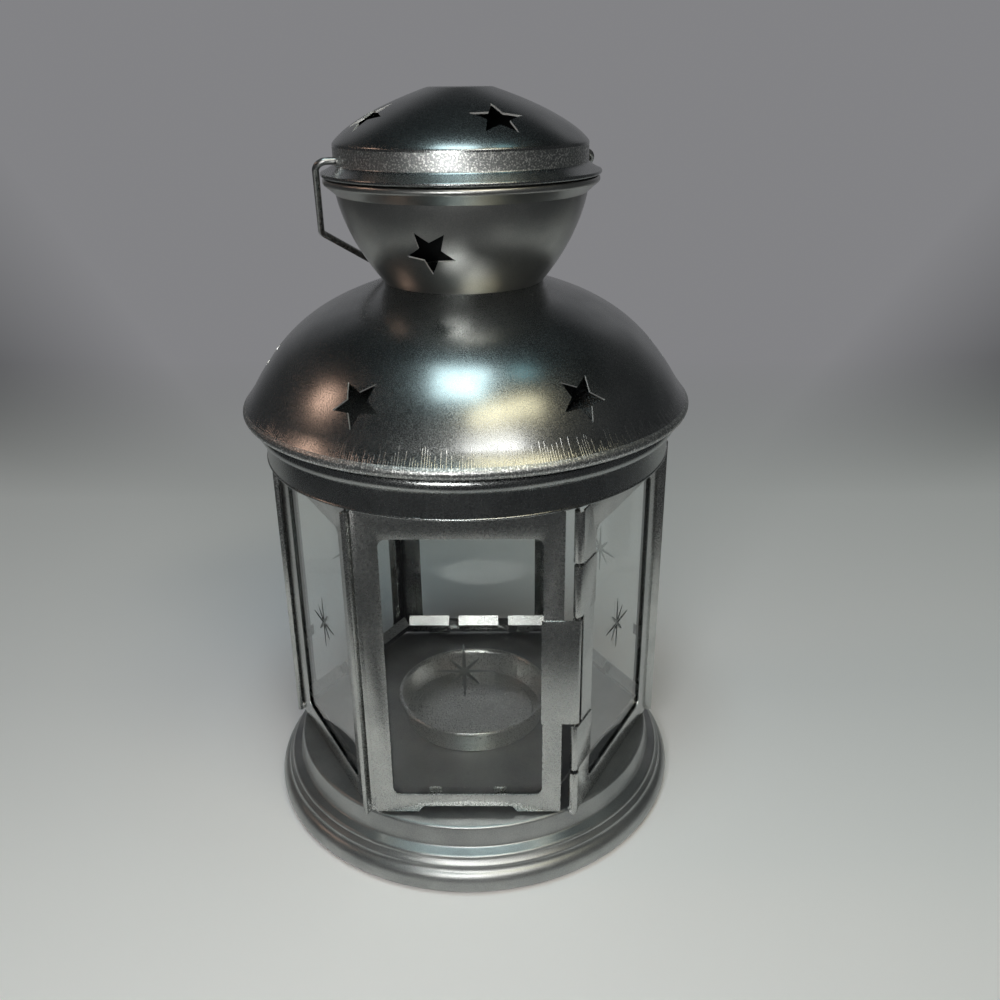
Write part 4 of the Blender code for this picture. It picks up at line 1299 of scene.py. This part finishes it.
@dataclass
class FoldedSheets:
    """The five panels and the door's frame, with the small radius that a folded or cut edge really has."""

    finishes: Finishes
    fold: float = 0.00014
    fold_steps: int = 2
    fold_angle: float = 25.0
    inward: float = -0.3       # faces that look out by less than this are in the shade

    def dress(self, node: str, body: str) -> None:
        """Rounds the edges of one folded piece, and paints shade on the inner faces of a panel.

        Args:
            node: Its CAD node.
            body: The body that it rides on.
        """
        piece = merged_copy(node, f"{node}_folded")
        piece.data.materials.append(self.finishes.folded)
        edge = piece.modifiers.new("fold", "BEVEL")
        edge.width = self.fold
        edge.segments = self.fold_steps
        edge.limit_method = "ANGLE"
        edge.angle_limit = math.radians(self.fold_angle)
        settle(piece)
        # painted shade on the panels' inner faces
        if body == HOUSING:
            piece.data.materials.append(self.finishes.painted_shade_panel_inside)
            for face in piece.data.polygons:
                outward = Vector((face.center.x, face.center.y, 0.0)).normalized()
                if face.normal.dot(outward) < self.inward:
                    face.material_index = 1
        hand_over(piece, body, Slot.SHEET, node)

    def build(self) -> None:
        """Dresses every panel and the door's frame."""
        for node in sorted(frame["nodes"]):
            if node.startswith("panel_"):
                self.dress(node, HOUSING)
        self.dress("door_frame", DOOR)


@dataclass
class SillLips:
    """The tongues that lean in over the foot of each fixed pane, three to a panel, which catch the light:
    partly by their lean, partly by a painted highlight in their bright finish.
    """

    finishes: Finishes
    panels: int = CAGE_SIDES - 1
    count: int = 3
    pitch: float = 0.0185
    width: float = 0.0148
    height: float = 0.0036
    wall: float = 0.0004
    rise: float = 0.0042
    stand_off: float = 0.0011
    lean: float = 30.7

    def build(self) -> None:
        """Lays out the tongues, from the panel beside the door all the way round, and hands them over."""
        pane_low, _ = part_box("pane_back")
        maker = Maker("sill_lips", {"Panels": "Int", "Count": "Int", "Pitch": "Float", "Size": "Vector",
                                    "Lean": "Float", "Place": "Vector"})
        source = maker.source
        plate = maker.node("GeometryNodeMeshCube", {"Size": source["Size"]}).outputs[0]
        leaning = maker.moved(plate, turn=maker.vector(x=source["Lean"]), place=source["Place"])
        half = maker.math("MULTIPLY", maker.math("SUBTRACT", source["Count"], 1.0), 0.5)
        along = maker.math("MULTIPLY", maker.math("SUBTRACT", maker.index(), half), source["Pitch"])
        row = maker.copies(source["Count"], leaning, place=maker.vector(x=along))
        turn = maker.math("MULTIPLY", maker.math("ADD", maker.index(), 1.0), math.tau / CAGE_SIDES)
        maker.close(maker.copies(source["Panels"], row, turn))
        # the bright finish paints a highlight on tongues of the panels' own sheet
        mesh = maker.mesh("sill_lips", {
            "Panels": self.panels, "Count": self.count, "Pitch": self.pitch,
            "Size": (self.width, self.wall, self.height), "Lean": math.radians(self.lean),
            "Place": (0.0, self.stand_off - pane_low.y, pane_low.z + self.rise),
            "Material": self.finishes.bright})
        hand_over(add_piece("sill_lips", mesh), HOUSING, Slot.BRIGHT)


@dataclass
class SeamNubs:
    """The small ends of the seams, at the foot of every corner but the hinged one, with their glint painted
    in a bright finish.
    """

    finishes: Finishes
    count: int = CAGE_SIDES - 1
    radius: float = 0.00085
    segments: int = 20
    reach: float = 0.0576
    height: float = 0.0196

    def build(self) -> None:
        """Lays out the nubs and hands them over."""
        maker = Maker("seam_nubs", {"Count": "Int", "Radius": "Float", "Place": "Vector"})
        ball = maker.ball(maker.source["Radius"], self.segments)
        placed = maker.moved(ball, place=maker.source["Place"])
        turn = maker.math("MULTIPLY", maker.index(), math.tau / CAGE_SIDES)
        maker.close(maker.copies(maker.source["Count"], placed, turn))
        # the bright finish paints the glint of the seam ends
        mesh = maker.mesh("seam_nubs", {"Count": self.count, "Radius": self.radius,
                                        "Place": (self.reach, 0.0, self.height),
                                        "Material": self.finishes.bright})
        mesh.shade_smooth()
        hand_over(add_piece("seam_nubs", mesh), HOUSING, Slot.BRIGHT)


def ray_maker() -> Maker:
    """The tree that lays out the wheel cuts of a star: lens-shaped grooves that cross in the middle.

    Returns:
        The tree.
    """
    maker = Maker("wheel_cuts", {"Cuts": "Int", "Long": "Float", "Short": "Float", "Width": "Float",
                                 "Depth": "Float"})
    source = maker.source
    index = maker.index()
    turn = maker.math("MULTIPLY", index, maker.math("DIVIDE", math.pi, source["Cuts"]))
    shorter = maker.math("SUBTRACT", source["Short"], source["Long"])
    length = maker.math("MULTIPLY_ADD", maker.math("MODULO", index, 2.0), shorter, source["Long"])
    scale = maker.vector(source["Width"], length, source["Depth"])
    maker.close(maker.copies(source["Cuts"], maker.ball(radius=1.0), turn, scale=scale))
    return maker


@dataclass
class Panes:
    """The six panes, each with a star cut into its outer face by a wheel."""

    finishes: Finishes
    star_height: float = 0.0663
    long_cut: float = 0.0084
    short_cut: float = 0.0058
    cut_width: float = 0.00052
    cut_depth: float = 0.00022
    cuts: int = 4

    def outer_face(self, piece: bpy.types.Object) -> Matrix:
        """Finds the pane's face that looks away from the lantern's axis.

        Args:
            piece: The pane.

        Returns:
            Matrix from the face's own axes, with Z outwards and Y up, to the row frame.
        """
        faces = sorted(piece.data.polygons, key=lambda face: face.area)[-2:]
        face = max(faces, key=lambda item: item.normal.dot(item.center))
        outward = face.normal.copy()
        up = Vector((0.0, 0.0, 1.0))
        matrix = Matrix((up.cross(outward), up, outward)).transposed().to_4x4()
        return Matrix.Translation((face.center.x, face.center.y, self.star_height)) @ matrix

    def build(self) -> None:
        """Cuts a star in every pane and hands the panes over."""
        maker = ray_maker()
        for node in sorted(frame["nodes"]):
            if not (node.startswith("pane_") or node == "door_pane"):
                continue
            piece = merged_copy(node, f"{node}_cut")
            piece.data.materials.append(self.finishes.glass)
            # the cuts take the dark ground glass, painted shade in the star's lines
            cutter = maker.mesh("wheel_cuts", {
                "Cuts": self.cuts, "Long": self.long_cut, "Short": self.short_cut, "Width": self.cut_width,
                "Depth": self.cut_depth, "Material": self.finishes.ground_glass})
            cutter.transform(self.outer_face(piece))
            cut_away(piece, cutter, crossing=True)
            self.shade_cuts_only(piece.data)
            hand_over(piece, DOOR if node == "door_pane" else HOUSING, Slot.GLASS, node)

    def shade_cuts_only(self, mesh: bpy.types.Mesh) -> None:
        """Shades a pane's cuts smooth and everything else flat, so that the view through it stays true.

        Args:
            mesh: The pane's mesh, with the ground finish in its last slot.
        """
        last = len(mesh.materials) - 1
        for face in mesh.polygons:
            face.use_smooth = face.material_index == last


@dataclass
class HingePin:
    """The pin of the door's hinge."""

    finishes: Finishes

    def build(self) -> None:
        """Gives the CAD pin its finish."""
        pin = frame["nodes"]["hinge_pin"]
        pin.data.materials.clear()
        pin.data.materials.append(self.finishes.wire)
        LOG.info("hinge_pin: kept from the frame")


@dataclass(frozen=True)
class Lamp:
    """One soft rectangular light."""

    name: str
    way: tuple[float, float, float]       # from the lit point to the lamp
    distance: float
    size: Range
    power: float
    colour: Colour

    def build(self, lit_point: Vector) -> None:
        """Hangs the lamp.

        Args:
            lit_point: The point that it shines at.
        """
        light = bpy.data.lights.new(self.name, "AREA")
        light.shape = "RECTANGLE"
        light.size, light.size_y = self.size
        light.energy = self.power
        light.color = self.colour
        lamp = add_piece(self.name, light)
        lamp.location = lit_point + Vector(self.way).normalized() * self.distance
        lamp.rotation_euler = Vector(self.way).to_track_quat("Z", "Y").to_euler()


@dataclass
class Studio:
    """The pale floor with its painted pool of light, the soft lights, the dim room that the metal mirrors,
    and the camera.
    """

    floor_colour: Colour = (0.90, 0.875, 0.885)
    # the floor is paler in front of the lantern
    near_colour: Colour = (0.98, 0.955, 0.955)
    near_fade: Range = (-0.06, 0.04)
    floor_radius: float = 6.0
    floor_steps: int = 96
    floor_rough: float = 0.9
    # painted pool of light: outside these bounds the floor glows with the room's colour instead of being lit
    painted_pool_apex: float = -0.37
    painted_pool_sides: Range = (0.90, 0.77)
    painted_pool_front: Range = (0.10, 0.18)
    painted_pool_back: Range = (0.22, 0.50)
    backdrop: Colour = (0.225, 0.225, 0.235)
    backdrop_fade: Range = (0.70, 0.88)
    room: Colour = (0.045, 0.047, 0.049)
    ceiling: Colour = (0.018, 0.021, 0.023)
    ceiling_fade: Range = (0.50, 0.66)
    lit_height: float = 0.12
    lamps: tuple[Lamp, ...] = (
        Lamp("front_softbox", (0.22, -0.75, 0.61), 1.0, (0.46, 0.12), 1.6, (1.0, 0.985, 0.96)),
        Lamp("overhead_cool", (-0.03, -0.30, 0.954), 1.0, (0.37, 0.38), 2.35, (0.72, 0.95, 1.0)),
        Lamp("cream_strip", (0.30, -0.52, 0.80), 1.1, (0.60, 0.14), 1.5, (1.0, 0.90, 0.60)),
        Lamp("warm_side", (-0.80, 0.00, 0.52), 1.1, (0.17, 0.20), 0.42, (1.0, 0.64, 0.48)),
        Lamp("camera_side", (-0.13, -0.94, 0.32), 0.31, (0.09, 0.040), 0.28, (1.0, 1.0, 0.98)),
        Lamp("dim_teal", (0.36, -0.12, 0.92), 1.0, (0.15, 0.15), 0.10, (0.45, 0.90, 1.0)),
    )
    focal_pixels: float = 969.0
    image_side: float = 1000.0
    sensor: float = 36.0
    nearest: float = 0.01
    camera_place: tuple[float, float, float] = (0.01346, -0.26938, 0.21239)
    pitch: float = 0.4126
    heading: float = -0.0156
    roll: float = -0.0102

    def build(self) -> None:
        """Sets up everything round the lantern."""
        self.add_floor()
        self.add_world()
        for lamp in self.lamps:
            lamp.build(Vector((0.0, 0.0, self.lit_height)))
        self.add_camera()
        bpy.context.scene.view_settings.view_transform = "Standard"

    def surround(self, board: Board, way: Socket) -> Socket:
        """Colour of the room at eye level: a pale backdrop behind the lantern and a dim room elsewhere.

        Args:
            board: The board to add to.
            way: Socket of the direction to the room.

        Returns:
            Socket of the colour.
        """
        level = board.vector_math("MULTIPLY", way, (1.0, 1.0, 0.0))
        behind = board.part(board.vector_math("NORMALIZE", level), 1)
        return board.blend_colours(board.spread(behind, self.backdrop_fade), self.room, self.backdrop)

    def add_floor(self) -> None:
        """Lays the pale floor with a painted pool of light: outside the pool it turns black and glows with
        the room's colour, dark in front and to the sides and pale behind.
        """
        mesh = bpy.data.meshes.new("floor")
        work = bmesh.new()
        bmesh.ops.create_circle(work, cap_ends=True, segments=self.floor_steps, radius=self.floor_radius)
        work.to_mesh(mesh)
        work.free()
        board = ShaderBoard("pale_floor")
        from_apex = board.vector_math("SUBTRACT", board.place, (0.0, self.painted_pool_apex, 0.0))
        aside = board.spread(board.part(board.vector_math("NORMALIZE", from_apex), 1), self.painted_pool_sides)
        depth = board.part(board.place, 1)
        front = board.spread(board.math("MULTIPLY", depth, -1.0), self.painted_pool_front)
        back = board.spread(depth, self.painted_pool_back)
        # painted fall-off: share of the floor outside the pool of light
        far = board.math("MAXIMUM", board.math("MAXIMUM", aside, front), back)
        floor = board.blend_colours(board.spread(depth, self.near_fade), self.near_colour, self.floor_colour)
        # outside the pool the floor is black and glows: painted dark in front and to the sides, pale behind
        board.feed({"Base Color": board.blend_colours(far, floor, (0.0, 0.0, 0.0)),
                    "Roughness": self.floor_rough, "Specular IOR Level": 0.0,
                    "Emission Color": self.surround(board, board.place), "Emission Strength": far})
        mesh.materials.append(board.material)
        add_piece("floor", mesh)

    def add_world(self) -> None:
        """A dim room with a pale backdrop behind the lantern, under a dark ceiling."""
        world = bpy.data.worlds.new("studio")
        bpy.context.scene.world = world
        world.use_nodes = True
        board = Board(world.node_tree)
        way = board.node("ShaderNodeTexCoord").outputs["Generated"]
        high = board.spread(board.part(way, 2), self.ceiling_fade)
        colour = board.blend_colours(high, self.surround(board, way), self.ceiling)
        background = world.node_tree.nodes["Background"]
        world.node_tree.links.new(colour, background.inputs["Color"])
        background.inputs["Strength"].default_value = 1.0

    def add_camera(self) -> None:
        """The camera at the photograph's place and angle."""
        ahead = Vector((math.sin(self.heading) * math.cos(self.pitch),
                        math.cos(self.heading) * math.cos(self.pitch), -math.sin(self.pitch)))
        level = Vector((math.cos(self.heading), -math.sin(self.heading), 0.0))
        above = level.cross(ahead)
        right = level * math.cos(self.roll) + above * math.sin(self.roll)
        up = above * math.cos(self.roll) - level * math.sin(self.roll)
        camera = bpy.data.cameras.new("camera")
        camera.sensor_width = self.sensor
        camera.lens = self.focal_pixels * self.sensor / self.image_side
        camera.clip_start = self.nearest
        piece = add_piece("camera", camera)
        matrix = Matrix((right, up, -ahead)).transposed().to_4x4()
        piece.matrix_world = Matrix.Translation(self.camera_place) @ matrix
        bpy.context.scene.camera = piece


def main() -> None:
    """Builds the lantern's pieces in order, then its surroundings."""
    logging.basicConfig(level=logging.INFO, format="%(name)s %(message)s")
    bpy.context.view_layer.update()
    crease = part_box("roof")[0].z + Roof.crease_rise
    rim_band = (crease - Roof.speckled_reach[0], crease - Roof.speckled_reach[1])
    cap_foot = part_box("cap")[0].z
    cap_band = (cap_foot + Cap.speckled_rise[0], cap_foot + Cap.speckled_rise[1])
    finishes = build_finishes(crease, rim_band, cap_band)
    press = Press(lathe_maker(), star_maker(), finishes)
    bail = Bail(finishes)
    for part in (BasePan(press), TealightCup(press), FoldedSheets(finishes), SillLips(finishes),
                 SeamNubs(finishes), Panes(finishes), HingePin(finishes), Collar(press), Roof(press),
                 Bowl(press, bail), Cap(press, bail), bail, Studio()):
        part.build()


if __name__ == "__main__":
    main()
